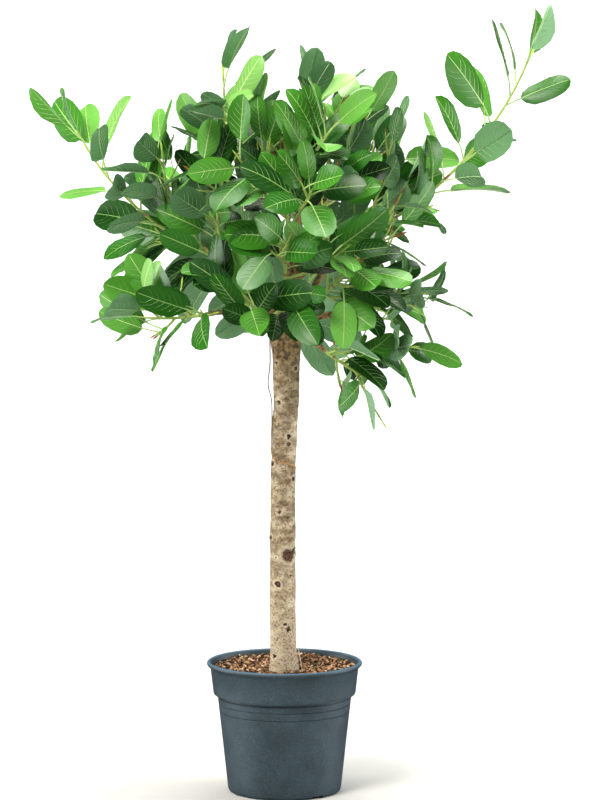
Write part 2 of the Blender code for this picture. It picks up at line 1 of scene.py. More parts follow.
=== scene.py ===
"""Looks of a fig grown as a standard, in its nursery pot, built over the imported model.

Metres, +Z up, origin at the centre of the pot's flat underside, -Y the front of the plant.
The limbs, shoots and first leaves come from the same tables and growth rule as the solids.
More leaves then find room between them by that rule, on finer twigs.
"""

import json
import math
import random
from collections import namedtuple

import bpy
import numpy as np
from mathutils import Matrix, Vector, noise
from mathutils.bvhtree import BVHTree
from mathutils.kdtree import KDTree

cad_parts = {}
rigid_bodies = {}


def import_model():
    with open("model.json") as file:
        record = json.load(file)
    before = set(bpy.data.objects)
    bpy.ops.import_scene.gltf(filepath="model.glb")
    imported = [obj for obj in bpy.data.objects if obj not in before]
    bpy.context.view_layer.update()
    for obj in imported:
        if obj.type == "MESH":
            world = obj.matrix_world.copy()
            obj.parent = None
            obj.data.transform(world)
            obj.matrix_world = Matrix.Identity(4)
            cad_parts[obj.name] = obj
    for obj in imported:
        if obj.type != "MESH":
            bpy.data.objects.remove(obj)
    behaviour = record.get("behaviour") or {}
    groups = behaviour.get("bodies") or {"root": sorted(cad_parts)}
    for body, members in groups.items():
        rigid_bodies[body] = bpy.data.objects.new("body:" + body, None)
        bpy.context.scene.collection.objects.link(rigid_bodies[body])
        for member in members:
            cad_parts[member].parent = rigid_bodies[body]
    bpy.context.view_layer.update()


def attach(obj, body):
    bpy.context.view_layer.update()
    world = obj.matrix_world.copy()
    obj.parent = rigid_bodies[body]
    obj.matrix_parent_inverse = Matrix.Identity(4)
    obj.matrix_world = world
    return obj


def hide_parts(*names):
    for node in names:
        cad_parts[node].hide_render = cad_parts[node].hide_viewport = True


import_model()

BODY = "root"

UP = Vector((0, 0, 1))
GAP = 0.0003                         # clear space between pieces that touch
TURN = 137.5                         # degrees round a stem from one leaf to the next
NEARLY_ALL = 0.9999                  # share that still lies on an axis's last stretch
UPRIGHT = 0.02                       # a direction with a shorter level part counts as upright
MERGED = 0.00001                     # points nearer than this become one

# ---- Sizes of the pot and its soil ---------------------------------------------

FOOT_RADIUS = 0.097                  # flat underside
FOOT_EDGE = (0.1066, 0.010)          # radius and height where the rounded edge ends
WALL_TOP = (0.1248, 0.174)
SHOULDER = (0.1335, 0.1865)
COLLAR_TOP = (0.1385, 0.2335)
RIM_RADIUS = 0.1453
RIM_TOP = 0.245
BEAD = 0.0042                        # radius of the rolled rim
WALL = 0.0022                        # thickness
FLOOR = 0.003                        # height of the floor inside
NOTCH = (0.016, 0.024, 0.010)        # drain notch in the foot: deep, wide, and twice its height
NOTCH_HEADINGS = (306, 66, 186)      # degrees round the pot
SOIL_LEVEL = 0.227                   # before its heaps and dips

# ---- Sizes of the trunk and boughs ---------------------------------------------

# Height, sideways lean and radius of the stem, from its flat cut on the soil to its head.
TRUNK = (
    (0.2273, -0.0012, 0.0290),
    (0.2400, -0.0012, 0.0265),
    (0.2700, -0.0022, 0.0246),
    (0.3600, -0.0030, 0.0242),
    (0.5200, -0.0032, 0.0236),
    (0.6400, -0.0010, 0.0234),
    (0.7400, 0.0036, 0.0238),
    (0.8050, 0.0040, 0.0250),
    (0.8400, 0.0030, 0.0276),
    (0.8700, 0.0024, 0.0288),
    (0.8900, 0.0020, 0.0270),
    (0.9020, 0.0018, 0.0205),
)

# A bough leaves its parent's axis at the height start; base and tip are its radii.
Bough = namedtuple("Bough", "name parent start heading rise length lift base tip")
BOUGHS = (
    Bough("leader_bough", "trunk", 0.895, 10, 80, 0.185, 4, 0.0150, 0.0080),
    Bough("left_bough", "trunk", 0.868, 180, 37, 0.170, 20, 0.0110, 0.0070),
    Bough("low_left_bough", "trunk", 0.860, 218, 34, 0.190, -42, 0.0062, 0.0042),
    Bough("right_high_bough", "leader_bough", 0.955, 350, 38, 0.125, -8, 0.0085, 0.0058),
    Bough("right_bough", "trunk", 0.886, 353, 4, 0.125, 4, 0.0080, 0.0055),
    Bough("low_right_bough", "trunk", 0.860, 334, -4, 0.090, -34, 0.0055, 0.0042),
    Bough("back_left_bough", "trunk", 0.872, 128, 36, 0.150, 14, 0.0090, 0.0060),
    Bough("back_right_bough", "trunk", 0.872, 50, 36, 0.150, 12, 0.0090, 0.0060),
    Bough("back_bough", "trunk", 0.860, 90, 10, 0.120, 8, 0.0070, 0.0050),
    Bough("front_bough", "trunk", 0.870, 270, 44, 0.120, 10, 0.0078, 0.0055),
    Bough("front_right_bough", "trunk", 0.876, 304, 20, 0.120, 12, 0.0070, 0.0050),
    Bough("front_low_bough", "trunk", 0.858, 248, 22, 0.090, 0, 0.0062, 0.0046),
    Bough("upper_back_bough", "leader_bough", 0.985, 98, 48, 0.095, 14, 0.0065, 0.0050),
    Bough("upper_front_bough", "leader_bough", 0.975, 262, 46, 0.095, 16, 0.0065, 0.0050),
    Bough("upper_left_bough", "leader_bough", 1.000, 168, 46, 0.110, 12, 0.0065, 0.0050),
    Bough("upper_right_bough", "leader_bough", 1.025, 18, 50, 0.100, 12, 0.0062, 0.0048),
)

# ---- Sizes of the foliage ------------------------------------------------------

HEAD_CENTRE = Vector((-0.005, 0.0, 1.100))
HEAD_RADII = Vector((0.300, 0.280, 0.285))   # outline that the side shoots' leaves reach

# Each mass has one stem on its bough's tip, and side shoots that fork from the stem
# between its foot and the share fork_end of its length. The seeds are for its side
# shoots, for the leaves of its stem and for the leaves of its side shoots.
Mass = namedtuple(
    "Mass", "name bough heading rise length lift shoots fork_end twig_seed stem_seed leaf_seed")
MASSES = (
    Mass("left_leaves", "left_bough", 185, 21, 0.368, 42, 5, 0.42, 9, 2321, 136),
    Mass("right_high_leaves", "right_high_bough", 356, 24, 0.492, 44, 5, 0.36, 1, 1964, 38),
    Mass("top_leaves", "leader_bough", 80, 84, 0.200, 8, 4, 0.70, 7, 152, 158),
    Mass("low_left_leaves", "low_left_bough", 180, -10, 0.120, 16, 4, 0.80, 3, 120, 81),
    Mass("right_leaves", "right_bough", 352, 12, 0.120, 6, 5, 0.80, 0, 101, 74),
    Mass("low_right_leaves", "low_right_bough", 345, -36, 0.085, 10, 4, 0.80, 7, 134, 80),
    Mass("upper_left_leaves", "upper_left_bough", 166, 60, 0.140, 12, 5, 0.80, 4, 136, 163),
    Mass("upper_right_leaves", "upper_right_bough", 16, 62, 0.130, 12, 5, 0.80, 5, 0, 6),
    Mass("front_leaves", "front_bough", 272, 50, 0.110, 10, 4, 0.80, 4, 26, 148),
    Mass("front_right_leaves", "front_right_bough", 318, 30, 0.110, 20, 4, 0.80, 4, 142, 136),
    Mass("front_low_leaves", "front_low_bough", 244, 18, 0.100, 10, 5, 0.80, 3, 121, 48),
    Mass("upper_front_leaves", "upper_front_bough", 262, 62, 0.120, 16, 4, 0.80, 6, 91, 41),
    Mass("upper_back_leaves", "upper_back_bough", 98, 62, 0.120, 16, 4, 0.80, 6, 49, 132),
    Mass("back_left_leaves", "back_left_bough", 130, 46, 0.130, 14, 5, 0.80, 6, 112, 112),
    Mass("back_right_leaves", "back_right_bough", 48, 46, 0.130, 14, 5, 0.80, 6, 168, 21),
    Mass("back_leaves", "back_bough", 90, 18, 0.120, 14, 4, 0.80, 9, 155, 67),
)
# Long shoots beside a mass's own stem: share of the stem's length, then as for a bough.
LongShoot = namedtuple("LongShoot", "mass start heading rise length lift seed")
LONG_SHOOTS = (
    LongShoot("left_leaves", 0.19, 20, 78, 0.335, 16, 677),
    LongShoot("right_high_leaves", 0.19, 0, 66, 0.190, 14, 1936),
    LongShoot("low_right_leaves", 0.20, 350, 14, 0.150, -14, 1719),
)
LONG_LENGTH = 0.25                   # a longer shoot is free: its leaves are larger and further apart
LONG_SPACING = 0.036
LONG_LEAF = 1.14
LONG_BASE = 0.9                      # a long shoot's radius at its foot, share of its stem's there
TWIG_RADIUS = 0.0030                 # most that a stem has at its foot
FOOT_SHARE = 0.7                     # and most as a share of its bough's tip
STEM_FOOT = 0.006                    # stretch of a stem that carries on its bough's direction
SHOOT_RADIUS = 0.0026                # most that a side shoot has at its foot
TIP_RADIUS = 0.0015
STEM_STEPS = 6                       # straight stretches of a bough, stem or long shoot
SHOOT_STEPS = 3                      # and of a side shoot or spur
TWIG_CORNERS = 1.5                   # corner radius of a three-sided twig, share of a round one's
STEM_BARE = 0.10                     # leafless share of a stem, from its foot
LONG_BARE = 0.16                     # of a long shoot
SHOOT_BARE = 0.26                    # and of a side shoot
SHOOT_PLACE = 0.6                    # where a side shoot forks in its own stretch of the stem
SHOOT_FORK = 48                      # degrees between a side shoot and its stem
FORK_CHANGES = (-8, 10)              # least and most degrees added to that
SHOOT_LIFT = 26                      # degrees that a side shoot turns up
LIFT_CHANGES = (0.6, 1.3)            # least and most share of that
SHOOT_SHORTEST = 0.055
SHOOT_LONGEST = 0.170
LENGTH_CHANGES = (0.86, 1.0)         # least and most share of the length that its room gives it
HEADROOM = 0.75                      # from its tip to the head's outline, share of a leaf's length
TWIG_SEED, LEAF_SEED = 1000, 2000    # added to the tables' seeds
LEAF_LENGTH = 0.101
LEAF_WIDTH = 0.51                    # share of the length
LEAF_KEEL = 0.020                    # depth of the midrib under the blade, share of the length
STALK_SHARE = 0.36                   # leaf stalk's length, share of the blade's
STALK_RADIUS = 0.0014
ROOT_SHARE = 0.55                    # a stalk's radius where it roots inside its twig, share of the full one
NODE_SPACING = 0.0235                # between leaves along a shoot
LEAF_ANGLE = 52                      # degrees between a leaf stalk and its shoot
YOUNG_FROM = 0.75                    # share of a shoot past which its leaves are young
YOUNG_SHRINK = 0.14                  # how much smaller the leaf at a shoot's tip is
YOUNG_CLOSE = 0.62                   # and how much less it opens from the shoot
STALK_RISE = 0.16                    # how much a leaf stalk turns up, share of its own direction
BLADE_SPREAD = 0.20                  # how much a blade turns out from its stalk
# A leaf's own small changes, from least to most: degrees that it opens further, share of the
# usual size and breadth, and how far its blade is raised. TWIST is its usual turn in degrees.
Changes = namedtuple("Changes", "angle size broad droop")
FIRST_CHANGES = Changes((-10, 12), (0.82, 1.16), (0.88, 1.10), (-0.32, 0.20))
TWIST = 20
LIGHT = Vector((0, -0.5, 0.86))      # where most of the light that the leaves turn to comes from
OWN_FACE, LIGHT_FACE, OUT_FACE = 0.10, 0.50, 0.80   # pull on a blade's face: its twig's, light's, outward
OUT_RISE = 0.3                       # share of its rise that the outward pull keeps
TRY_TURNS = (0, 24, -24, 48, -48, 74, -74, 104, -104, 140)   # degrees tried to find room
TRY_SCALES = (1.0, 0.84)
BLADE_SECTIONS = ((0.28, 0.44), (0.70, 0.45))   # share of the length, half width as a share of the width
BLADE_DROOP = 0.09                   # how far the tip bends back, share of the length
KNEE_HALF, KNEE_KEEL = 1.2, 1.6      # leaf's half width and depth at its knee, in stalk radii
LEAF_ROOM = 0.0018                   # added all round a leaf while it looks for room
STALK_FOOT = 0.5                     # share of a stalk that may pass close to its own mass's twigs
CLEARANCE = 0.5                      # added to a twig's corners, share of its radius
LIMB_CLEARANCE = 0.12                # added to a limb, share of its radius
MARK_SPACING = 0.012                 # between the points on shoots that tell whose a place is
LIMBS = -1                           # owner of the limbs, beside the masses' numbers

# ---- Axes ----------------------------------------------------------------------

Axis = namedtuple("Axis", "points radii")


def direction(heading, rise):
    """Unit vector with a heading and a rise in degrees."""
    turn = math.radians(heading)
    climb = math.radians(rise)
    return Vector((math.cos(turn) * math.cos(climb), math.sin(turn) * math.cos(climb), math.sin(climb)))


def grown_axis(start, heading, rise, length, lift, base, tip, steps):
    """Axis that sets out with a heading and rise, and turns up evenly by lift degrees."""
    points = [Vector(start)]
    for step in range(steps):
        part = (step + 0.5) / steps
        points.append(points[-1] + direction(heading, rise + lift * part) * (length / steps))
    radii = [base + (tip - base) * step / steps for step in range(steps + 1)]
    return Axis(points, radii)


def on_axis(axis, share):
    """Point, unit direction and radius at a share of an axis's points."""
    place = min(max(share, 0.0), NEARLY_ALL) * (len(axis.points) - 1)
    index = int(place)
    part = place - index
    here = axis.points[index]
    there = axis.points[index + 1]
    radius = axis.radii[index] + (axis.radii[index + 1] - axis.radii[index]) * part
    return here.lerp(there, part), (there - here).normalized(), radius


def axis_length(axis):
    return sum((there - here).length for here, there in zip(axis.points, axis.points[1:]))


def across(way):
    """Level unit vector square to a direction, or +X where it is upright."""
    side = way.cross(UP)
    return side.normalized() if side.length > UPRIGHT else Vector((1, 0, 0))


def square_to(way, degrees):
    """Unit vector square to a direction, turned round it from the level one."""
    side = across(way)
    turn = math.radians(degrees)
    return side * math.cos(turn) + way.cross(side) * math.sin(turn)


def heading_and_rise(way):
    """Heading and rise of a unit vector, in degrees."""
    return math.degrees(math.atan2(way.y, way.x)), math.degrees(math.asin(way.z))


def trunk_axis():
    points = [Vector((lean, 0, height)) for height, lean, _ in TRUNK]
    return Axis(points, [radius for _, _, radius in TRUNK])


def trunk_radius(height):
    return float(np.interp(height, [row[0] for row in TRUNK], [row[2] for row in TRUNK]))


def height_on(axis, height):
    """Point of a rising axis at a height."""
    for here, there in zip(axis.points, axis.points[1:]):
        if here.z <= height <= there.z:
            return here.lerp(there, (height - here.z) / (there.z - here.z))
    return axis.points[-1]


def limb_axes():
    """The trunk's and every bough's axis by name."""
    axes = {"trunk": trunk_axis()}
    for bough in BOUGHS:
        start = height_on(axes[bough.parent], bough.start)
        axes[bough.name] = grown_axis(
            start, bough.heading, bough.rise, bough.length, bough.lift, bough.base, bough.tip, STEM_STEPS)
    return axes


# ---- Rings and skins -----------------------------------------------------------

def tube_rings(axis, sides, swell=1.0):
    """Rings of points round an axis, each turned as little as can be from the last."""
    points = axis.points
    rings = []
    side = None
    for index, point in enumerate(points):
        way = (points[min(index + 1, len(points) - 1)] - points[max(index - 1, 0)]).normalized()
        side = across(way) if side is None else (side - way * side.dot(way)).normalized()
        other = way.cross(side)
        radius = axis.radii[index] * swell
        turns = [2 * math.pi * k / sides for k in range(sides)]
        rings.append([point + (side * math.cos(turn) + other * math.sin(turn)) * radius for turn in turns])
    return rings


def skin(rings, tip=None):
    """Points and faces of a closed skin over rings, which ends in a cap or in a point."""
    sides = len(rings[0])
    points = [point for ring in rings for point in ring]
    faces = [tuple(reversed(range(sides)))]
    for level in range(len(rings) - 1):
        low = level * sides
        for k in range(sides):
            after = (k + 1) % sides
            faces.append((low + k, low + after, low + sides + after, low + sides + k))
    last = len(points) - sides
    if tip is None:
        faces.append(tuple(range(last, last + sides)))
    else:
        points.append(tip)
        faces.extend((last + k, last + (k + 1) % sides, len(points) - 1) for k in range(sides))
    return points, faces


# ---- The plant's growth rule ---------------------------------------------------

Shoot = namedtuple("Shoot", "mass axis bare seed")
Leaf = namedtuple("Leaf", "mass root knee way face length width")


class Space:
    """What has grown so far and to which mass it belongs, so that nothing grows through it."""

    def __init__(self):
        self.bodies = []

    def add(self, mass, points, faces):
        centre = sum(points, Vector()) / len(points)
        reach = max((point - centre).length for point in points)
        self.bodies.append((mass, centre, reach, BVHTree.FromPolygons(points, faces)))

    def touched(self, points, faces, but=None):
        """Whether a body meets any other, apart from those of the mass named by but."""
        centre = sum(points, Vector()) / len(points)
        reach = max((point - centre).length for point in points)
        tree = None
        for mass, other, other_reach, other_tree in self.bodies:
            if mass == but or (other - centre).length > reach + other_reach:
                continue
            tree = tree or BVHTree.FromPolygons(points, faces)
            if other_tree.overlap(tree):
                return True
        return False


def head_reach(point):
    """A point's way out from the head's middle, 1 long at the head's outline."""
    return Vector([(a - b) / c for a, b, c in zip(point, HEAD_CENTRE, HEAD_RADII)])


def room_to_outline(point, way):
    """Distance from a point inside the head to its outline along a direction."""
    here = head_reach(point)
    step = Vector([a / b for a, b in zip(way, HEAD_RADII)])
    a = step.dot(step)
    b = 2 * here.dot(step)
    c = here.dot(here) - 1
    inside = b * b - 4 * a * c
    return (-b + math.sqrt(inside)) / (2 * a) if inside > 0 and c < 0 else 0.0


def side_shoot(mass, stem, index, first_turn, dice):
    """Axis of a mass's side shoot, which stops short of the head's outline."""
    share = mass.fork_end * (index + SHOOT_PLACE) / mass.shoots
    start, way, radius = on_axis(stem, share)
    out = square_to(way, first_turn + index * TURN)
    fork = math.radians(SHOOT_FORK + dice.uniform(*FORK_CHANGES))
    heading, rise = heading_and_rise((way * math.cos(fork) + out * math.sin(fork)).normalized())
    lift = SHOOT_LIFT * dice.uniform(*LIFT_CHANGES) * (1 - max(rise, 0) / 90)
    middle = direction(heading, rise + lift / 2)
    room = room_to_outline(start, middle) - HEADROOM * LEAF_LENGTH
    length = min(max(room, SHOOT_SHORTEST), SHOOT_LONGEST) * dice.uniform(*LENGTH_CHANGES)
    return grown_axis(start, heading, rise, length, lift, min(radius, SHOOT_RADIUS), TIP_RADIUS, SHOOT_STEPS)


def grow_shoots(limbs, space):
    """Each mass's stem, long shoots and side shoots; one that touches another is skipped."""
    shoots = []
    for number, mass in enumerate(MASSES):
        dice = random.Random(TWIG_SEED + mass.twig_seed)
        bough = limbs[mass.bough]
        _, way, radius = on_axis(bough, 1)
        foot = bough.points[-1] + way * GAP
        foot_radius = min(TWIG_RADIUS, radius * FOOT_SHARE)
        fork = foot + way * STEM_FOOT
        grown = grown_axis(
            fork, mass.heading, mass.rise, mass.length, mass.lift, foot_radius, TIP_RADIUS, STEM_STEPS)
        stem = Axis([foot, *grown.points], [foot_radius, *grown.radii])
        found = [Shoot(number, stem, STEM_BARE, mass.stem_seed)]
        for long in LONG_SHOOTS:
            if long.mass == mass.name:
                start, _, radius = on_axis(stem, long.start)
                base = radius * LONG_BASE
                axis = grown_axis(
                    start, long.heading, long.rise, long.length, long.lift, base, TIP_RADIUS, STEM_STEPS)
                found.append(Shoot(number, axis, LONG_BARE, long.seed))
        first_turn = dice.uniform(0, 360)
        for index in range(mass.shoots):
            axis = side_shoot(mass, stem, index, first_turn, dice)
            found.append(Shoot(number, axis, SHOOT_BARE, mass.leaf_seed * mass.shoots + index))
        for shoot in found:
            rings = tube_rings(shoot.axis, sides=3, swell=TWIG_CORNERS + CLEARANCE)
            if space.touched(*skin(rings[1:])) or space.touched(*skin(rings), number):
                continue
            space.add(number, *skin(rings))
            shoots.append(shoot)
    return shoots


def blade_droop(share):
    """How far the midrib has bent back at a share of the blade, as a share of its length."""
    return BLADE_DROOP * share * share


def leaf_sections(leaf, room=0.0):
    """Three-cornered sections of a leaf, from its root to its tip: two edges and the keel.

    With room, the leaf is as much thicker on every side as other leaves should stay away.
    """
    side = leaf.way.cross(leaf.face)
    down = -leaf.face
    stalk = STALK_RADIUS + room

    def section(middle, half, keel):
        top = middle - down * room
        return [top + side * half, middle + down * (keel + room), top - side * half]

    stalk_way = (leaf.knee - leaf.root).normalized()
    stalk_side = (side - stalk_way * side.dot(stalk_way)).normalized()
    stalk_down = stalk_way.cross(stalk_side)
    if stalk_down.dot(down) < 0:
        stalk_down = -stalk_down
    slim = stalk * ROOT_SHARE
    root = [
        leaf.root + stalk_side * slim - stalk_down * slim * 0.5,
        leaf.root + stalk_down * slim,
        leaf.root - stalk_side * slim - stalk_down * slim * 0.5]
    rings = [root, section(leaf.knee, stalk * KNEE_HALF, STALK_RADIUS * KNEE_KEEL)]
    for share, half in BLADE_SECTIONS:
        middle = leaf.knee + leaf.way * (leaf.length * share) + down * (leaf.length * blade_droop(share))
        rings.append(section(middle, leaf.width * half, leaf.length * LEAF_KEEL))
    tip = leaf.knee + leaf.way * leaf.length + down * (leaf.length * blade_droop(1))
    return rings, tip


def leaf_frame(shoot, share, turn, scale, chance):
    """The leaf at a share of a shoot, turned round it; chance holds its own small changes."""
    point, way, _ = on_axis(shoot.axis, share)
    out = square_to(way, turn)
    young = max(share - YOUNG_FROM, 0) / (1 - YOUNG_FROM)
    open_angle = math.radians((LEAF_ANGLE + chance["angle"]) * (1 - YOUNG_CLOSE * young))
    stalk_way = way * math.cos(open_angle) + out * math.sin(open_angle)
    stalk_way = (stalk_way + UP * STALK_RISE).normalized()
    length = LEAF_LENGTH * chance["size"] * scale * (1 - YOUNG_SHRINK * young)
    blade_way = (stalk_way + out * BLADE_SPREAD * (1 - young) + UP * chance["droop"]).normalized()
    own_face = way * math.sin(open_angle) - out * math.cos(open_angle)
    outward = point - HEAD_CENTRE
    outward.z *= OUT_RISE
    face = own_face * OWN_FACE + LIGHT * LIGHT_FACE + outward.normalized() * OUT_FACE
    face = (face - blade_way * face.dot(blade_way)).normalized()
    twist = math.radians(chance["twist"])
    face = face * math.cos(twist) + blade_way.cross(face) * math.sin(twist)
    knee = point + stalk_way * (length * STALK_SHARE)
    return Leaf(shoot.mass, point, knee, blade_way, face, length, length * LEAF_WIDTH * chance["broad"])


def has_room(leaf, space, owner):
    """Whether a leaf stays in its mass's own space and clear of all that has grown."""
    rings, tip = leaf_sections(leaf, LEAF_ROOM)
    whole = skin(rings, tip)
    if any(owner(point) != leaf.mass for point in whole[0]) or space.touched(*whole, leaf.mass):
        return False
    rings[0] = [low.lerp(high, STALK_FOOT) for low, high in zip(rings[0], rings[1])]
    return not space.touched(*skin(rings, tip))


def own_changes(dice, changes, free):
    """One leaf's own small changes; a free shoot's leaves are larger."""
    return {
        "angle": dice.uniform(*changes.angle),
        "size": dice.uniform(*changes.size) * (LONG_LEAF if free else 1),
        "broad": dice.uniform(*changes.broad),
        "droop": dice.uniform(*changes.droop),
        "twist": dice.gauss(0, TWIST),
    }


def find_room(shoot, share, turn, scales, chance, space, owner, lowest=0.0):
    """The leaf in the first turn and size that give it room above lowest, or None."""
    for scale in scales:
        for further in TRY_TURNS:
            leaf = leaf_frame(shoot, share, turn + further, scale, chance)
            tip = leaf.knee + leaf.way * leaf.length
            if min(leaf.knee.z, tip.z) > lowest and has_room(leaf, space, owner):
                space.add(leaf.mass, *skin(*leaf_sections(leaf)))
                return leaf
    return None


def grow_leaves(shoot, space, owner):
    """Leaves spaced along one shoot, each where it finds room inside its mass's own space."""
    dice = random.Random(LEAF_SEED + shoot.seed)
    length = axis_length(shoot.axis)
    free = length > LONG_LENGTH
    count = max(2, round(length * (1 - shoot.bare) / (LONG_SPACING if free else NODE_SPACING)))
    first_turn = dice.uniform(0, 360)
    leaves = []
    for index in range(count):
        share = shoot.bare + (1 - shoot.bare) * (index + 0.5) / count
        chance = own_changes(dice, FIRST_CHANGES, free)
        turn = first_turn + index * TURN
        leaves.append(find_room(shoot, share, turn, TRY_SCALES, chance, space, owner))
    return [leaf for leaf in leaves if leaf]


def space_owner(shoots):
    """Function that tells whose space a point lies in: the mass of the nearest shoot."""
    marks = []
    for shoot in shoots:
        count = max(2, round(axis_length(shoot.axis) / MARK_SPACING))
        marks.extend((on_axis(shoot.axis, k / (count - 1))[0], shoot.mass) for k in range(count))
    tree = KDTree(len(marks))
    for index, (point, _) in enumerate(marks):
        tree.insert(point, index)
    tree.balance()
    return lambda point: marks[tree.find(point)[1]][1]


# ---- Finer growth on the same shoots -------------------------------------------

# Short spurs fork from the shoots between their leaves, and each carries a few leaves.
SPUR_SHORTEST, SPUR_LONGEST = 0.030, 0.055
SPUR_RADIUS = 0.0017
SPUR_SPACING = 0.062
SPUR_BARE = 0.20
SPUR_PLACE = 0.3                     # where a spur forks in its own stretch of the shoot
SPUR_ROOT = 0.5                      # how far out in the shoot it starts, share of the shoot's radius
SPUR_OUT = (0.7, 1.3)                # least and most that it leans out, share of the shoot's direction
SPUR_RISE = 0.15                     # and how much it turns up there
SPUR_LIFT = 16                       # degrees that it turns up along its length
SPUR_TIP = TIP_RADIUS * 0.8
MORE_CHANGES = Changes((-10, 14), (0.84, 1.12), (0.92, 1.12), (-0.34, 0.18))
MORE_SCALES = (1.0, 0.88, 0.76)      # sizes tried for the leaves between a shoot's first ones
SPUR_SCALES = (0.92, 0.80, 0.68)
MORE_KEPT = 0.80                     # share of those nodes that still hold their leaf
FREE_SPACING = LONG_SPACING * 0.70   # between a free shoot's further leaves
HANG_LOWEST = 0.815                  # how low the tip of a further leaf may hang
FREE_SEEDS = (463, 91, 315)          # one for each free shoot's further leaves
# Seeds of each mass's further leaves and of its spurs, in the order of the masses.
MORE_SEEDS = (1, 45, 26, 13, 4, 2, 44, 26, 18, 31, 25, 23, 21, 21, 25, 26)
SPUR_SEEDS = (56, 13, 34, 54, 20, 46, 6, 27, 26, 10, 58, 4, 52, 29, 1, 44)


def grow_spurs(shoots, space, seed):
    """Short side twigs of one mass's shoots, none on free ones; one that touches another is skipped."""
    dice = random.Random(seed)
    spurs = []
    for shoot in shoots:
        length = axis_length(shoot.axis)
        count = 0 if length > LONG_LENGTH else round(length / SPUR_SPACING)
        for index in range(count):
            share = shoot.bare + (1 - shoot.bare) * (index + SPUR_PLACE) / count
            start, way, radius = on_axis(shoot.axis, share)
            out = square_to(way, dice.uniform(0, 360) + index * TURN)
            leaving = (way + out * dice.uniform(*SPUR_OUT) + UP * SPUR_RISE).normalized()
            heading, rise = heading_and_rise(leaving)
            reach = dice.uniform(SPUR_SHORTEST, SPUR_LONGEST)
            foot = start + leaving * radius * SPUR_ROOT
            axis = grown_axis(foot, heading, rise, reach, SPUR_LIFT, SPUR_RADIUS, SPUR_TIP, SHOOT_STEPS)
            rings = tube_rings(axis, sides=3, swell=TWIG_CORNERS + CLEARANCE)
            if not space.touched(*skin(rings[1:])):
                space.add(shoot.mass, *skin(rings))
                spurs.append(Shoot(shoot.mass, axis, SPUR_BARE, seed))
    return spurs


def grow_more(shoots, space, owner, scales, seed):
    """Leaves at the nodes between a mass's first ones, or along its spurs, where they find room."""
    dice = random.Random(seed)
    leaves = []
    for shoot in shoots:
        length = axis_length(shoot.axis)
        free = length > LONG_LENGTH
        count = max(2, round(length * (1 - shoot.bare) / (FREE_SPACING if free else NODE_SPACING)))
        first_turn = dice.uniform(0, 360)
        for index in range(count - 1):
            share = shoot.bare + (1 - shoot.bare) * (index + 1) / count
            chance = own_changes(dice, MORE_CHANGES, free)
            if dice.random() <= MORE_KEPT:
                turn = first_turn + index * TURN
                leaves.append(find_room(shoot, share, turn, scales, chance, space, owner, HANG_LOWEST))
    return [leaf for leaf in leaves if leaf]


def grow_all():
    """Limbs, shoots, spurs and leaves: the solids' own growth first, and then the finer one."""
    limbs = limb_axes()
    space = Space()
    for axis in limbs.values():
        space.add(LIMBS, *skin(tube_rings(axis, sides=8, swell=1 + LIMB_CLEARANCE)))
    shoots = grow_shoots(limbs, space)
    owner = space_owner(shoots)
    leaves = []
    for shoot in shoots:
        leaves.extend(grow_leaves(shoot, space, owner))
    free = [shoot for shoot in shoots if axis_length(shoot.axis) > LONG_LENGTH]
    for shoot, seed in zip(free, FREE_SEEDS):
        leaves.extend(grow_more([shoot], space, owner, MORE_SCALES, seed))
    bound = [shoot for shoot in shoots if axis_length(shoot.axis) <= LONG_LENGTH]
    by_mass = [[shoot for shoot in bound if shoot.mass == number] for number in range(len(MASSES))]
    for own, seed in zip(by_mass, MORE_SEEDS):
        leaves.extend(grow_more(own, space, owner, MORE_SCALES, seed))
    spurs = []
    for own, seed in zip(by_mass, SPUR_SEEDS):
        grown = grow_spurs(own, space, seed)
        leaves.extend(grow_more(grown, space, owner, SPUR_SCALES, seed))
        spurs.extend(grown)
    return limbs, shoots, spurs, leaves


# ---- Small helpers -------------------------------------------------------------

def hex_colour(code):
    """Linear colour of an sRGB hex value."""
    parts = [int(code[k:k + 2], 16) / 255 for k in (1, 3, 5)]
    linear = [part / 12.92 if part <= 0.04045 else ((part + 0.055) / 1.055) ** 2.4 for part in parts]
    return (*linear, 1.0)


def add_node(tree, kind, inputs, output, **settings):
    """Node with its settings, each of its inputs given a value or a link; gives one of its outputs."""
    node = tree.nodes.new(kind)
    for name, value in settings.items():
        setattr(node, name, value)
    for name, value in inputs.items():
        if isinstance(value, bpy.types.NodeSocket):
            tree.links.new(value, node.inputs[name])
        else:
            node.inputs[name].default_value = value
    return node.outputs[output]


def new_material(name, colour, roughness, ior=1.5):
    """Material with plain values on its shader, with its node tree and shader."""
    made = bpy.data.materials.new(name)
    made.use_nodes = True
    shader = made.node_tree.nodes["Principled BSDF"]
    shader.inputs["Base Color"].default_value = hex_colour(colour)
    shader.inputs["Roughness"].default_value = roughness
    shader.inputs["IOR"].default_value = ior
    shader.inputs["Metallic"].default_value = 0.0
    made.diffuse_color = hex_colour(colour)
    return made, made.node_tree, shader


def plain_material(name, colour, roughness, ior):
    """Material that is the same all over."""
    made, _, _ = new_material(name, colour, roughness, ior)
    return made


def turned_to(tree, base, colour, value, none_at, full_at, most=1.0):
    """Base that turns to another colour as a value goes from none_at to full_at."""
    share = add_node(
        tree, "ShaderNodeMapRange",
        {"Value": value, "From Min": none_at, "From Max": full_at, "To Max": most}, "Result")
    return add_node(tree, "ShaderNodeMix", {0: share, 6: base, 7: colour}, 2, data_type="RGBA")


def strewn(tree, base, place, size, colour, cover, most=1.0, detail=2.0):
    """Base with patches or specks of another colour, about size metres across.

    cover holds the noise values where they start to show and where they show most.
    """
    blotches = add_node(
        tree, "ShaderNodeTexNoise",
        {"Vector": place, "Scale": 1 / size, "Detail": detail}, "Fac")
    return turned_to(tree, base, hex_colour(colour), blotches, *cover, most)


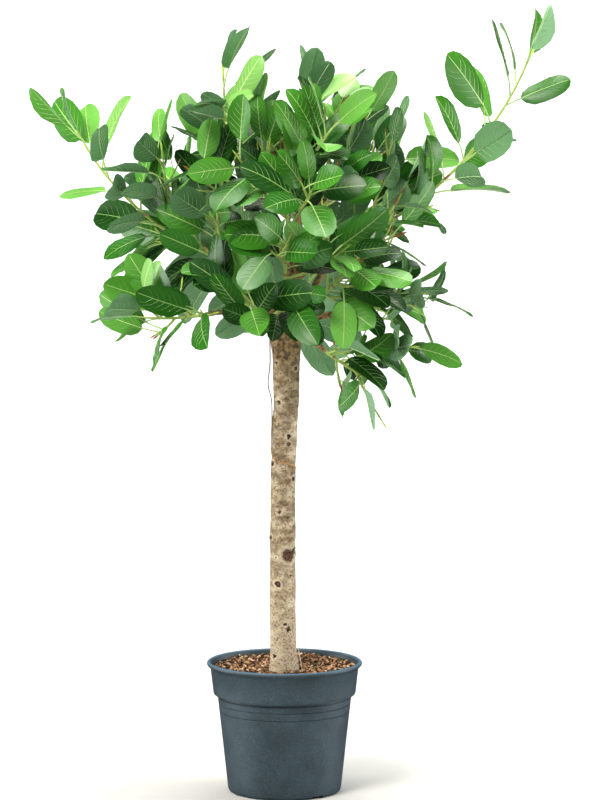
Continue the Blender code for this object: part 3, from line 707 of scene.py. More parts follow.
def fine_relief(tree, shader, place, size, depth, strength, detail=3.0):
    """Bumps about size metres across and depth metres deep on a shader's normal."""
    grain = add_node(
        tree, "ShaderNodeTexNoise",
        {"Vector": place, "Scale": 1 / size, "Detail": detail}, "Fac")
    bump = add_node(
        tree, "ShaderNodeBump", {"Height": grain, "Strength": strength, "Distance": depth}, "Normal")
    tree.links.new(bump, shader.inputs["Normal"])


def deselect_all():
    if bpy.context.object and bpy.context.object.mode != "OBJECT":
        bpy.ops.object.mode_set(mode="OBJECT")
    bpy.ops.object.select_all(action="DESELECT")


def make_active(thing):
    deselect_all()
    bpy.context.view_layer.objects.active = thing
    thing.select_set(True)


def added(name, *materials):
    """The primitive just added, named and given its materials."""
    made = bpy.context.object
    made.name = name
    made.data.name = name
    for paint in materials:
        made.data.materials.append(paint)
    return made


def apply_all(thing):
    """Apply every modifier, then the object's place, so that the place is in the mesh."""
    make_active(thing)
    for modifier in list(thing.modifiers):
        bpy.ops.object.modifier_apply(modifier=modifier.name)
    bpy.ops.object.transform_apply(location=True, rotation=True, scale=True)


def smooth(thing, degrees):
    """Shade a piece smooth, apart from the edges that are sharper than degrees."""
    make_active(thing)
    bpy.ops.object.shade_smooth_by_angle(angle=math.radians(degrees))


def start_disc(name, sides, radius, place, *materials):
    """A level disc, left in edit mode with its one face selected."""
    bpy.ops.mesh.primitive_circle_add(vertices=sides, radius=radius, fill_type="NGON", location=place)
    disc = added(name, *materials)
    bpy.ops.object.mode_set(mode="EDIT")
    bpy.ops.mesh.select_mode(type="FACE")
    bpy.ops.mesh.select_all(action="SELECT")
    return disc


def raise_rings(rings):
    """Extrude the selected faces from ring to ring; each has a lean, a height and a radius."""
    for (lean, height, radius), (next_lean, next_height, next_radius) in zip(rings, rings[1:]):
        step = (next_lean - lean, 0, next_height - height)
        bpy.ops.mesh.extrude_region_move(TRANSFORM_OT_translate={"value": step})
        grow = next_radius / radius
        bpy.ops.transform.resize(value=(grow, grow, 1), center_override=(next_lean, 0, next_height))


def turn_outward():
    """Turn all faces of the mesh in edit mode outward, and leave edit mode."""
    bpy.ops.mesh.select_all(action="SELECT")
    bpy.ops.mesh.normals_make_consistent(inside=False)
    bpy.ops.object.mode_set(mode="OBJECT")


LEVEL_FACE = 0.9                     # least rise of a level, upward face's normal


def select_tops(thing):
    """Open a piece in edit mode with only its level, upward faces selected."""
    bpy.ops.object.mode_set(mode="EDIT")
    bpy.ops.mesh.select_mode(type="FACE")
    bpy.ops.mesh.select_all(action="DESELECT")
    bpy.ops.object.mode_set(mode="OBJECT")
    for face in thing.data.polygons:
        face.select = face.normal.z > LEVEL_FACE
    bpy.ops.object.mode_set(mode="EDIT")


def set_points(thing, points):
    thing.data.vertices.foreach_set("co", np.asarray(points, dtype=np.float32).ravel())
    thing.data.update()


def points_of(thing):
    points = np.zeros(len(thing.data.vertices) * 3, dtype=np.float32)
    thing.data.vertices.foreach_get("co", points)
    return points.reshape(-1, 3).astype(float)


def stand_for(piece, slot, *nodes):
    """A finished piece rides on the plant's one body, and stands for the solids it replaces."""
    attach(piece, BODY)
    if nodes:
        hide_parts(*nodes)


# ---- Camera, light and studio --------------------------------------------------

CAMERA_PLACE = (0.029, -6.0, 1.29)
CAMERA_AIM = (0.029, 0.0, 0.735)
LENS, SENSOR = 145.9, 36.0           # mm; the sensor lies along the frame's long side
FARTHEST = 100.0                     # metres that the camera sees
AIR_COLOUR, AIR_STRENGTH = "#f6f8fb", 0.05   # of the even light from all round
# Name, place, what it points at, side in metres, watts and colour of each soft lamp.
LAMPS = (
    ("key_lamp", (-2.4, -3.4, 4.8), (0, 0, 0.9), 2.0, 440, "#fffaf0"),
    ("front_lamp", (2.6, -3.6, 2.0), (0, 0, 0.8), 2.4, 24, "#f6f9ff"),
    ("top_lamp", (0.3, 0.5, 5.0), (0, 0, 1.1), 2.8, 450, "#fffdf4"),
    ("left_edge_lamp", (-3.2, 0.2, 0.6), (0, 0, 0.45), 1.6, 98, "#ffffff"),
    ("right_edge_lamp", (3.2, 0.2, 0.6), (0, 0, 0.45), 1.6, 115, "#ffffff"),
    ("wall_lamp", (0.0, 4.6, 4.4), (0, 14.0, 1.4), 4.0, 520, "#ffffff"),
)


def aimed(place, target):
    """Turn that points a camera or lamp from its place at a target."""
    return (Vector(target) - Vector(place)).to_track_quat("-Z", "Y").to_euler()


def place_camera():
    bpy.ops.object.camera_add(location=CAMERA_PLACE)
    camera = bpy.context.object
    camera.name = "camera"
    camera.rotation_euler = aimed(CAMERA_PLACE, CAMERA_AIM)
    camera.data.lens = LENS
    camera.data.sensor_width = SENSOR
    camera.data.clip_end = FARTHEST
    bpy.context.scene.camera = camera


def light_studio():
    """White tent: some even light from all round, soft lamps, and edge lamps from behind."""
    world = bpy.data.worlds.new("studio_air")
    world.use_nodes = True
    air = world.node_tree.nodes["Background"]
    air.inputs["Color"].default_value = hex_colour(AIR_COLOUR)
    air.inputs["Strength"].default_value = AIR_STRENGTH
    bpy.context.scene.world = world
    for name, place, target, side, watts, colour in LAMPS:
        bpy.ops.object.light_add(type="AREA", location=place)
        lamp = bpy.context.object
        lamp.name = name
        lamp.rotation_euler = aimed(place, target)
        lamp.data.size = side
        lamp.data.energy = watts
        lamp.data.color = hex_colour(colour)[:3]
        lamp.visible_camera = False
    bpy.context.scene.view_settings.view_transform = "Standard"


STUDIO_RADIUS, STUDIO_HEIGHT = 14.0, 4.5
STUDIO_SIDES = 96
COVE_WIDTH, COVE_STEPS = 2.4, 12     # of the curve between the floor and the wall
PAPER_GLOW = 0.85                    # how much of its own light the far paper gives
GLOW_FROM, GLOW_FULL = 2.0, 6.0      # how far from the plant it starts and is all there


def make_studio_floor():
    """Seamless paper: a level floor that curves up to a low round wall, backlit away from the plant."""
    paper, tree, shader = new_material("backlit_paper", "#c4c4c3", roughness=0.9)
    place = add_node(tree, "ShaderNodeTexCoord", {}, "Object")
    fibres = strewn(tree, hex_colour("#c6c6c5"), place, 0.6, "#c2c2c1", (0.4, 0.6))
    tree.links.new(fibres, shader.inputs["Base Color"])
    away = add_node(tree, "ShaderNodeVectorMath", {0: place}, "Value", operation="LENGTH")
    glow = add_node(
        tree, "ShaderNodeMapRange",
        {"Value": away, "From Min": GLOW_FROM, "From Max": GLOW_FULL, "To Max": PAPER_GLOW}, "Result")
    shader.inputs["Emission Color"].default_value = (1.0, 1.0, 1.0, 1.0)
    tree.links.new(glow, shader.inputs["Emission Strength"])
    bpy.ops.mesh.primitive_cylinder_add(
        vertices=STUDIO_SIDES, radius=STUDIO_RADIUS, depth=STUDIO_HEIGHT, location=(0, 0, STUDIO_HEIGHT / 2))
    floor = added("studio_floor", paper)
    select_tops(floor)
    bpy.ops.mesh.delete(type="FACE")
    bpy.ops.mesh.select_all(action="SELECT")
    bpy.ops.mesh.flip_normals()
    bpy.ops.object.mode_set(mode="OBJECT")
    bend = floor.modifiers.new("cove", "BEVEL")
    bend.width = COVE_WIDTH
    bend.segments = COVE_STEPS
    bend.limit_method = "ANGLE"
    bend.angle_limit = math.radians(60)
    apply_all(floor)
    smooth(floor, degrees=40)
    floor.visible_glossy = False         # waxy leaves would mirror the lit paper as a grey film


# ---- Pot -----------------------------------------------------------------------

POT_SIDES = 96
GROOVE_HEIGHTS = (0.1520, 0.1665)    # two fine grooves round the wall
GROOVE_DEPTH = 0.0015
GROOVE_HALF = 0.0012
FOOT_CURVE = (0.0075, 0.0085)        # how wide and tall the foot's rounded edge is
FOOT_TURNS = (-62, -36, -10)         # degrees round that edge
FOOT_BAND = 0.022                    # height of the first ring on the straight wall
UNDERCUT = 0.0030                    # how far under its shoulder the collar steps in to the wall
CHANNEL = (0.0026, 0.0055)           # depth and height of the channel that runs round under it
CHANNEL_EASE = 0.0008                # height of the slope into it
LIP = ((0.0012, 0.0006), (0.0002, 0.0026))   # the collar's lower lip: in from the shoulder, and up
LIP_END = 0.0015                     # where it ends above the shoulder
BEAD_FOOT = 0.002                    # how far under the collar's top the rolled rim sets out
BEAD_TURNS = range(-70, 111, 20)     # degrees round the rolled rim
THROAT = ((0.6 * WALL, 0.0026), (WALL + 0.0006, 0.0060))   # inside the rim: in, and down from its top
SHOULDER_INSIDE = (0.002, -0.001)    # heights of the step inside, from the shoulder
RIM_HIGHLIGHT = (0.0028, 0.0008)            # how far under the rim's top the painted highlight starts and is full


def pot_plastic():
    """Recycled polypropylene, injection moulded: dark blue-grey that the mould leaves finely matt.

    The recyclate gives it pale and dark flecks a millimetre or two across, and faint clouding.
    The rim's crown has a pale blue painted highlight.
    """
    made, tree, shader = new_material("moulded_polypropylene", "#22343d", roughness=0.50, ior=1.49)
    shader.inputs["Specular IOR Level"].default_value = 0.30
    place = add_node(tree, "ShaderNodeTexCoord", {}, "Object")
    base = strewn(tree, hex_colour("#2d393f"), place, 0.050, "#35444c", (0.35, 0.68), detail=3.0)
    base = strewn(tree, base, place, 0.0019, "#5b7380", (0.62, 0.74), most=0.50, detail=1.0)
    base = strewn(tree, base, place, 0.0021, "#10191d", (0.60, 0.70), most=0.60, detail=1.0)
    height = add_node(tree, "ShaderNodeSeparateXYZ", {0: place}, "Z")
    # painted highlight: the rolled rim's crown turns pale blue
    none_at, full_at = [RIM_TOP - under for under in RIM_HIGHLIGHT]
    base = turned_to(tree, base, hex_colour("#58788f"), height, none_at, full_at, most=0.70)
    tree.links.new(base, shader.inputs["Base Color"])
    fine_relief(tree, shader, place, size=0.0014, depth=0.0004, strength=0.15)
    return made


def wall_radius(height):
    """Radius of the pot's outer wall between its foot and its shoulder."""
    share = (height - FOOT_EDGE[1]) / (WALL_TOP[1] - FOOT_EDGE[1])
    return FOOT_EDGE[0] + (WALL_TOP[0] - FOOT_EDGE[0]) * share


def pot_profile():
    """Radius and height of the pot's wall, from its flat foot up, over the rim and down inside."""
    profile = [(FOOT_RADIUS, 0.0)]
    for degrees in FOOT_TURNS:
        turn = math.radians(degrees)
        radius = FOOT_EDGE[0] - FOOT_CURVE[0] * (1 - math.cos(turn))
        profile.append((radius, FOOT_CURVE[1] * (1 + math.sin(turn))))
    profile.append((wall_radius(FOOT_BAND), FOOT_BAND))
    for height in GROOVE_HEIGHTS:
        profile.append((wall_radius(height - GROOVE_HALF), height - GROOVE_HALF))
        profile.append((wall_radius(height) - GROOVE_DEPTH, height))
        profile.append((wall_radius(height + GROOVE_HALF), height + GROOVE_HALF))
    under = SHOULDER[1] - UNDERCUT
    foot = under - CHANNEL[1]
    inset = wall_radius(foot) - CHANNEL[0]
    profile.extend(((inset + CHANNEL[0], foot), (inset, foot + CHANNEL_EASE), (inset, under)))
    profile.extend((SHOULDER[0] - inward, under + rise) for inward, rise in LIP)
    profile.append((SHOULDER[0], SHOULDER[1] + LIP_END))
    profile.append((COLLAR_TOP[0], COLLAR_TOP[1] - BEAD_FOOT))
    for degrees in BEAD_TURNS:
        turn = math.radians(degrees)
        profile.append((RIM_RADIUS - BEAD + BEAD * math.cos(turn), RIM_TOP - BEAD + BEAD * math.sin(turn)))
    profile.extend((COLLAR_TOP[0] - inward, RIM_TOP - down) for inward, down in THROAT)
    profile.append((SHOULDER[0] - WALL, SHOULDER[1] + SHOULDER_INSIDE[0]))
    profile.append((inset - WALL, SHOULDER[1] + SHOULDER_INSIDE[1]))
    profile.append((inset - WALL, WALL_TOP[1]))
    profile.append((FOOT_EDGE[0] - WALL, FOOT_EDGE[1] + WALL))
    profile.append((FOOT_RADIUS - WALL, FLOOR))
    return profile


def cut_notch(pot, heading, notch_shade_paint):
    """One drain notch cut into the pot's foot, its walls given a near black painted shade."""
    turn = math.radians(heading)
    foot = (FOOT_EDGE[0] * math.cos(turn), FOOT_EDGE[0] * math.sin(turn), 0)
    bpy.ops.mesh.primitive_cube_add(size=1, location=foot, rotation=(0, 0, turn))
    cutter = added("notch_cutter", notch_shade_paint)
    cutter.scale = NOTCH
    make_active(pot)
    cut = pot.modifiers.new("notch", "BOOLEAN")
    cut.operation = "DIFFERENCE"
    cut.solver = "EXACT"
    cut.material_mode = "TRANSFER"
    cut.object = cutter
    bpy.ops.object.modifier_apply(modifier=cut.name)
    bpy.data.objects.remove(cutter, do_unlink=True)


def painted_notch_shade():
    """Painted shade for the walls of the drain notches: black, rough and wet-looking, as the dark inside of
    each hole.
    """
    return plain_material("painted_notch_shade", "#050607", roughness=0.90, ior=1.33)


def make_pot():
    """The pot drawn up from its foot ring by ring, with its drain notches cut last."""
    # near black painted shade for the inside of the drain notches
    notch_shade_paint = painted_notch_shade()
    profile = pot_profile()
    pot = start_disc("nursery_pot", POT_SIDES, profile[0][0], (0, 0, 0), pot_plastic(), notch_shade_paint)
    raise_rings([(0, height, radius) for radius, height in profile])
    turn_outward()
    for heading in NOTCH_HEADINGS:
        cut_notch(pot, heading, notch_shade_paint)
    apply_all(pot)
    smooth(pot, degrees=35)
    stand_for(pot, "pot_plastic", "pot")


# ---- Potting mix ---------------------------------------------------------------

SOIL_EDGE = 0.1352                   # radius at which the mix meets the pot's inner wall
SOIL_SIDES, SOIL_RINGS = 72, 22
SOIL_RING = SOIL_EDGE / (SOIL_RINGS + 1.5)   # a ring's width, which leaves a small disc in the middle
ON_EDGE = 0.0005                     # a point this near to the mix's edge is on it
SOIL_SKIRT = 0.012                   # how far its edge is turned down the wall
FRONT_DIP = 0.0040                   # how far the mix has sunk in front of the stem
BACK_HEAP, SIDE_HEAP = 0.0100, 0.0030   # how high it is heaped at the back and at the sides
HEAP_START, HEAP_RUN = -0.05, 0.15   # where towards the back that heap starts, and its run
LUMPS = (38, 0.0032, 0.3)            # how many in a metre, how high, and which slice of the noise
CRUMBS = (120, 0.0016, 1.7)
CHIP_SHAPES = 9
CHIP_COUNT = 3600
CHIP_SIZES = (0.0022, 0.010, 0.0045)   # smallest, largest and commonest length
CHIP_BREADTHS = (0.38, 0.72)         # least and most, share of the length
CHIP_THICKNESSES = (0.22, 0.42)
CHIP_END, CHIP_TAPER = 0.4, 0.74     # where a chip's ends start, and their share of its breadth
CHIP_BREAKS = (0.10, 0.08, 0.06)     # how rough it is broken, along, across and through
CHIP_REACH = 0.97                    # how far out chips lie, share of the mix's edge
CHIP_TILT = 0.42                     # radians that a chip usually leans
CHIP_LIFTS = (-0.0005, 0.0030)       # least and most that its middle lies over the mix
CHIP_CLEAR = 0.002                   # kept between a chip's middle and the stem
CHIP_OVER = 0.0006                   # how far past the mix's edge a chip may reach
CHIP_COLOURS = ("#8d654a", "#b88d68", "#54392a", "#e0c29e", "#2b1a10", "#6b4933", "#180e08", "#a17756")
MOSS, MOSSY = "#5c6633", 30          # a mossy chip's colour, and one chip in how many has it
SHAPE_SEED, STREW_SEED = 300, 41


def potting_mix():
    """Composted bark and coir: dark crumbs between chips, rough and dull all over."""
    made, tree, shader = new_material("composted_bark", "#4a3222", roughness=0.95, ior=1.45)
    place = add_node(tree, "ShaderNodeTexCoord", {}, "Object")
    base = strewn(tree, hex_colour("#150d08"), place, 0.0045, "#523723", (0.42, 0.66), detail=3.0)
    base = strewn(tree, base, place, 0.030, "#5c6630", (0.64, 0.72), most=0.6)
    tree.links.new(base, shader.inputs["Base Color"])
    fine_relief(tree, shader, place, size=0.0035, depth=0.002, strength=0.9, detail=4.0)
    return made


def soil_height(x, y):
    """Height of the mix's surface: lumpy, and heaped a little towards the pot's back and sides."""
    back = BACK_HEAP * min(max((y - HEAP_START) / HEAP_RUN, 0.0), 1.0)
    heap = back + SIDE_HEAP * (x / SOIL_EDGE) ** 2 - FRONT_DIP
    rough = [noise.noise(Vector((x, y, cut)) * many) * high for many, high, cut in (LUMPS, CRUMBS)]
    return SOIL_LEVEL + heap + rough[0] + rough[1]


def make_soil():
    """A disc inset ring by ring, its edge turned down the pot's wall and its face made lumpy."""
    soil = start_disc("potting_mix", SOIL_SIDES, SOIL_EDGE, (0, 0, SOIL_LEVEL), potting_mix())
    for _ in range(SOIL_RINGS):
        bpy.ops.mesh.inset(thickness=SOIL_RING, depth=0)
    bpy.ops.mesh.poke()
    bpy.ops.mesh.select_all(action="DESELECT")
    bpy.ops.object.mode_set(mode="OBJECT")
    points = points_of(soil)
    for edge in soil.data.edges:
        edge.select = all(math.hypot(*points[k][:2]) > SOIL_EDGE - ON_EDGE for k in edge.vertices)
    bpy.ops.object.mode_set(mode="EDIT")
    bpy.ops.mesh.select_mode(type="EDGE")
    bpy.ops.mesh.extrude_region_move(TRANSFORM_OT_translate={"value": (0, 0, -SOIL_SKIRT)})
    turn_outward()
    apply_all(soil)
    points = points_of(soil)
    for point in points:
        if point[2] > SOIL_LEVEL - SOIL_SKIRT / 2:
            point[2] = soil_height(point[0], point[1])
    set_points(soil, points)
    smooth(soil, degrees=60)
    stand_for(soil, "potting_mix", "soil")


def bark_chip(number):
    """One chip of bark, split flat and broken at its ends."""
    dice = random.Random(SHAPE_SEED + number)
    bpy.ops.mesh.primitive_cube_add(size=1, location=(0, 0, 0))
    chip = added("chip")
    bpy.ops.object.mode_set(mode="EDIT")
    bpy.ops.mesh.select_all(action="SELECT")
    bpy.ops.mesh.subdivide(number_cuts=1)
    bpy.ops.transform.resize(value=(1.0, dice.uniform(*CHIP_BREADTHS), dice.uniform(*CHIP_THICKNESSES)))
    bpy.ops.object.mode_set(mode="OBJECT")
    points = points_of(chip)
    for point in points:
        if abs(point[0]) > CHIP_END:
            point[1:] *= CHIP_TAPER
        point += [dice.uniform(-rough, rough) for rough in CHIP_BREAKS]
    set_points(chip, points)
    return template_of(chip)


def template_of(thing):
    """Points, faces and material numbers of a modelled shape, which is then removed."""
    points = points_of(thing)
    faces = [tuple(face.vertices) for face in thing.data.polygons]
    slots = [face.material_index for face in thing.data.polygons]
    bpy.data.objects.remove(thing, do_unlink=True)
    return points, faces, slots


class Joined:
    """Copies of modelled shapes gathered as arrays, to be made one mesh."""

    def __init__(self):
        self.points = []
        self.faces = []
        self.slots = []
        self.count = 0

    def add(self, points, faces, slots):
        self.points.append(np.asarray(points, dtype=np.float32))
        self.faces.extend(tuple(index + self.count for index in face) for face in faces)
        self.slots.extend(slots)
        self.count += len(points)

    def make(self, name, materials, sharp=None):
        """The joined mesh as one object, smooth apart from edges over sharp degrees."""
        mesh = bpy.data.meshes.new(name)
        mesh.from_pydata(np.concatenate(self.points).tolist(), [], self.faces)
        mesh.polygons.foreach_set("material_index", self.slots)
        made = bpy.data.objects.new(name, mesh)
        bpy.context.collection.objects.link(made)
        for paint in materials:
            mesh.materials.append(paint)
        if sharp is not None:
            mesh.shade_smooth()
            mesh.set_sharp_from_angle(angle=math.radians(sharp))
        mesh.validate()
        return made


def chip_paints():
    """Split bark, rough and dull: pale where it broke, nearly black where it is old, and mossy."""
    return [plain_material(f"bark_chip_{number + 1}", colour, roughness=0.90, ior=1.45)
            for number, colour in enumerate((*CHIP_COLOURS, MOSS))]


def make_chips():
    """Bark chips strewn over the mix, lying as they fell."""
    shapes = [bark_chip(number) for number in range(CHIP_SHAPES)]
    paints = chip_paints()
    dice = random.Random(STREW_SEED)
    chips = Joined()
    for _ in range(CHIP_COUNT):
        reach = SOIL_EDGE * CHIP_REACH * math.sqrt(dice.random())
        turn = dice.uniform(0, 2 * math.pi)
        x, y = reach * math.cos(turn), reach * math.sin(turn)
        if math.hypot(x - TRUNK[0][1], y) < TRUNK[0][2] + CHIP_CLEAR:
            continue
        points, faces, _ = dice.choice(shapes)
        size = dice.triangular(*CHIP_SIZES)
        lean = Matrix.Rotation(dice.gauss(0, CHIP_TILT), 3, "X")
        tilt = lean @ Matrix.Rotation(dice.gauss(0, CHIP_TILT), 3, "Y")
        spin = np.array(Matrix.Rotation(dice.uniform(0, 2 * math.pi), 3, "Z") @ tilt)
        lift = dice.uniform(*CHIP_LIFTS)
        moved = (points * size) @ spin.T + [x, y, soil_height(x, y) + lift]
        if np.hypot(moved[:, 0], moved[:, 1]).max() > SOIL_EDGE + CHIP_OVER:
            continue
        shade = dice.randrange(len(CHIP_COLOURS)) if dice.randrange(MOSSY) else len(CHIP_COLOURS)
        chips.add(moved, faces, [shade] * len(faces))
    stand_for(chips.make("bark_chips", paints), "potting_mix")


# ---- Bark ----------------------------------------------------------------------

# Heading round the trunk, height and half width of each scar where a shoot was pruned off.
# The first is the large one, whose healed rim stands proud round brown end grain.
SCARS = (
    (296, 0.446, 0.0150), (330, 0.455, 0.0075), (256, 0.528, 0.0056), (202, 0.479, 0.0062),
    (246, 0.393, 0.0070), (294, 0.308, 0.0062), (281, 0.318, 0.0044), (308, 0.408, 0.0036),
    (228, 0.256, 0.0054), (292, 0.669, 0.0060), (290, 0.655, 0.0044), (234, 0.732, 0.0056),
    (206, 0.618, 0.0062), (323, 0.589, 0.0060), (316, 0.795, 0.0056), (222, 0.806, 0.0050),
    (95, 0.610, 0.0060), (60, 0.420, 0.0050), (140, 0.720, 0.0050), (20, 0.560, 0.0044),
    (110, 0.330, 0.0058), (160, 0.430, 0.0042), (40, 0.760, 0.0044), (80, 0.510, 0.0036),
)
SCAR_WANDER = 0.0110                 # how far a scar's outline wanders
SCAR_STIR = 0.007                    # between the turns of that outline
# Where each colour of a scar starts and is full, in half widths from its middle.
CALLUS, CORK, END_GRAIN = (1.7, 1.05), (1.0, 0.70), (0.80, 0.66)
GRAIN_WAVES = 24.0                   # radians of the growth rings' wave in one half width
SCAR_REACH = 1.9                     # how far its healed rim swells the bark, in half widths
SCAR_RIM, SCAR_RIM_WIDTH = 1.10, 0.28   # where the rim is highest, and how wide
SCAR_PROUD, SCAR_DEEP = 0.17, 0.24   # the rim's height and the bowl's depth inside it
SQUAT = (1.0, 1.0, 1.7)              # patches are wider than tall by this
PALE_FILM = (0.50, 0.27)             # heights where the pale film starts and is full
OLD_BARK = (0.750, 0.830)            # and where the head's brown bark does
BARK_LUMPS = (26, 0.0012)            # how many in a metre, and how high
BARK_PLATES = (Vector((120, 120, 210)), 0.00045)
FISSURES = (Vector((95, 95, 38)), 0.0040)   # and how deep
FISSURED_FROM, FISSURED_OVER = 0.80, 0.06   # height where they start, and over which they deepen
RIDGES = 0.0014                      # how far the bark between them stands proud
STEM_BURIED = 0.0055                 # how far the stem goes on under the loose chips
STEM_SIDES = 32
STEM_RING = 0.010                    # between the rings of the stem's first mesh
STEM_CROWN = ((0.35, 0.004), (0.35, 0.001))   # steps that round its top: share of its radius, and rise
STEM_CORE = 0.006                    # no bark is raised nearer to the axis
FLARE_RIBS, FLARE_PROUD, FLARE_HEIGHT = 5, 0.0016, 0.035   # swellings at the foot, over the roots


def scar_places(trunk):
    """Middle and half width of each scar on the bark."""
    places = []
    for heading, height, size in SCARS:
        places.append((height_on(trunk, height) + direction(heading, 0) * trunk_radius(height), size))
    return places


def scar_reach(tree, place, middles):
    """How far each point is from the nearest of some scars, as a share of that scar's size."""
    stir = add_node(
        tree, "ShaderNodeTexNoise",
        {"Vector": place, "Scale": 1 / SCAR_STIR, "Detail": 3.0}, "Color")
    wander = add_node(
        tree, "ShaderNodeVectorMath", {0: stir, 1: (SCAR_WANDER,) * 3, 2: place}, "Vector",
        operation="MULTIPLY_ADD")
    nearest = None
    for middle, size in middles:
        centre = tuple(middle + Vector((SCAR_WANDER, SCAR_WANDER, SCAR_WANDER)) * 0.5)
        away = add_node(
            tree, "ShaderNodeVectorMath", {0: wander, 1: centre}, "Value", operation="DISTANCE")
        share = add_node(tree, "ShaderNodeMath", {0: away, 1: size}, "Value", operation="DIVIDE")
        if nearest is None:
            nearest = share
        else:
            nearest = add_node(tree, "ShaderNodeMath", {0: nearest, 1: share}, "Value", operation="MINIMUM")
    return nearest


def scarred(tree, base, place, scars):
    """Bark colour with its scars: dark corky wood in a pale callus, and end grain in the large one."""
    nearest = scar_reach(tree, place, scars)
    base = turned_to(tree, base, hex_colour("#d3c6ac"), nearest, *CALLUS, most=0.30)
    cork = strewn(tree, hex_colour("#170e07"), place, 0.0040, "#6e5036", (0.50, 0.62), detail=3.0)
    base = turned_to(tree, base, cork, nearest, *CORK)
    large = scar_reach(tree, place, scars[:1])
    waves = add_node(tree, "ShaderNodeMath", {0: large, 1: GRAIN_WAVES}, "Value", operation="MULTIPLY")
    rings = add_node(tree, "ShaderNodeMath", {0: waves}, "Value", operation="SINE")
    grain = turned_to(tree, hex_colour("#1c0f06"), hex_colour("#5c3f24"), rings, -1.0, 1.0)
    return turned_to(tree, base, grain, large, *END_GRAIN)


def fig_bark(name, scars):
    """Living fig bark: thin and dusty beige, mottled in patches wider than they are tall.

    Dark crumbs and pores lie in it, with a pale film low down. Near the head it is older,
    brown and fissured.
    """
    made, tree, shader = new_material(name, "#9c8b6e", roughness=0.88, ior=1.45)
    place = add_node(tree, "ShaderNodeTexCoord", {}, "Object")
    squat = add_node(tree, "ShaderNodeMapping", {"Vector": place, "Scale": SQUAT}, "Vector")
    height = add_node(tree, "ShaderNodeSeparateXYZ", {0: place}, "Z")
    base = strewn(tree, hex_colour("#574733"), squat, 0.0130, "#8e7d5f", (0.38, 0.62), detail=8.0)
    base = strewn(tree, base, place, 0.060, "#584933", (0.46, 0.66), most=0.50)
    base = turned_to(tree, base, hex_colour("#b5a78c"), height, *PALE_FILM, most=0.62)
    base = strewn(tree, base, squat, 0.0240, "#c6b99f", (0.43, 0.67), most=0.64, detail=8.0)
    base = strewn(tree, base, squat, 0.0056, "#6f5a3f", (0.53, 0.63), most=0.65, detail=7.0)
    base = strewn(tree, base, place, 0.0038, "#452f1b", (0.53, 0.66), most=0.84, detail=8.0)
    base = strewn(tree, base, place, 0.0024, "#33210f", (0.66, 0.74), most=0.80)
    aged = strewn(tree, hex_colour("#33210f"), place, 0.0080, "#8d7147", (0.40, 0.60), detail=4.0)
    base = turned_to(tree, base, aged, height, *OLD_BARK, most=0.85)
    if scars:
        base = scarred(tree, base, place, scars)
    tree.links.new(base, shader.inputs["Base Color"])
    fine_relief(tree, shader, squat, size=0.0040, depth=0.0014, strength=0.85, detail=5.0)
    return made


def bark_relief(point, scars):
    """How far the bark stands proud: lumps, plates, fissures near the head, and the scars' rims."""
    rise = noise.noise(point * BARK_LUMPS[0]) * BARK_LUMPS[1]
    rise += noise.noise(point * BARK_PLATES[0]) * BARK_PLATES[1]
    old = min(max((point.z - FISSURED_FROM) / FISSURED_OVER, 0.0), 1.0)
    if old > 0:
        rib = abs(noise.noise(point * FISSURES[0])) * 2
        rise += old * (RIDGES - rib * FISSURES[1])
    for middle, size in scars:
        away = (point - middle).length / size
        if away < SCAR_REACH:
            ring = math.exp(-((away - SCAR_RIM) / SCAR_RIM_WIDTH) ** 2)
            bowl = max(0.0, 1 - away ** 2)
            rise += size * (SCAR_PROUD * ring - SCAR_DEEP * bowl)
    return rise


def model_stem(heights, leans, radii, paint):
    """The stem raised ring by ring from its flat cut, its top rounded, and then made finer."""
    stem = start_disc("fig_stem", STEM_SIDES, radii[0], (leans[0], 0, heights[0]), paint)
    raise_rings(list(zip(leans, heights, radii)))
    for share, rise in STEM_CROWN:
        bpy.ops.mesh.inset(thickness=radii[-1] * share, depth=rise)
    bpy.ops.mesh.poke()
    turn_outward()
    finer = stem.modifiers.new("finer", "SUBSURF")
    finer.levels = 2
    finer.render_levels = 2
    apply_all(stem)
    return stem


def make_trunk(paint, scars):
    """The stem with its bark's relief and the ribs of its foot."""
    table = np.array(TRUNK)
    floor = table[0][0] - STEM_BURIED
    heights = [floor, *np.arange(table[0][0], table[-1][0], STEM_RING), table[-1][0]]
    leans = np.interp(heights, table[:, 0], table[:, 1])
    radii = np.interp(heights, table[:, 0], table[:, 2])
    stem = model_stem(heights, leans, radii, paint)
    points = points_of(stem)
    for point in points:
        here = Vector(point)
        lean = float(np.interp(here.z, heights, leans))
        outward = Vector((here.x - lean, here.y, 0))
        if outward.length < STEM_CORE:
            continue
        outward.normalize()
        swell = max(0.0, 1 - (here.z - floor) / FLARE_HEIGHT)
        around = math.atan2(outward.y, outward.x)
        rise = bark_relief(here, scars) + FLARE_PROUD * swell * math.cos(FLARE_RIBS * around + 1.0)
        moved = here + outward * rise
        point[:] = (moved.x, moved.y, max(here.z, floor))
    set_points(stem, points)
    smooth(stem, degrees=80)
    stand_for(stem, "bark", "trunk")


def smooth_line(axis, steps):
    """An axis's points and radii with steps between each two, on a curve through them."""
    knots = [axis.points[0] * 2 - axis.points[1], *axis.points, axis.points[-1] * 2 - axis.points[-2]]
    points = []
    radii = []
    for k in range(len(axis.points) - 1):
        a, b, c, d = knots[k:k + 4]
        for step in range(steps):
            t = step / steps
            curve = 2 * b + (c - a) * t + (2 * a - 5 * b + 4 * c - d) * t * t
            points.append((curve + (3 * b - a - 3 * c + d) * t ** 3) * 0.5)
            radii.append(axis.radii[k] + (axis.radii[k + 1] - axis.radii[k]) * t)
    return Axis([*points, axis.points[-1]], [*radii, axis.radii[-1]])


BOUGH_STEPS = 6                      # between two points of a bough's axis
FOOT_SWELL, SWELL_REACH = 0.35, 5    # how much a bough swells to its foot, and over how many radii
BOUGH_KNOTS, KNOT_HEIGHT = 60, 0.10  # knots in a metre, and their height as a share of its radius
WRINKLES, WRINKLE_HEIGHT = 4.3, 0.45   # to each knot, and their height as a share of its


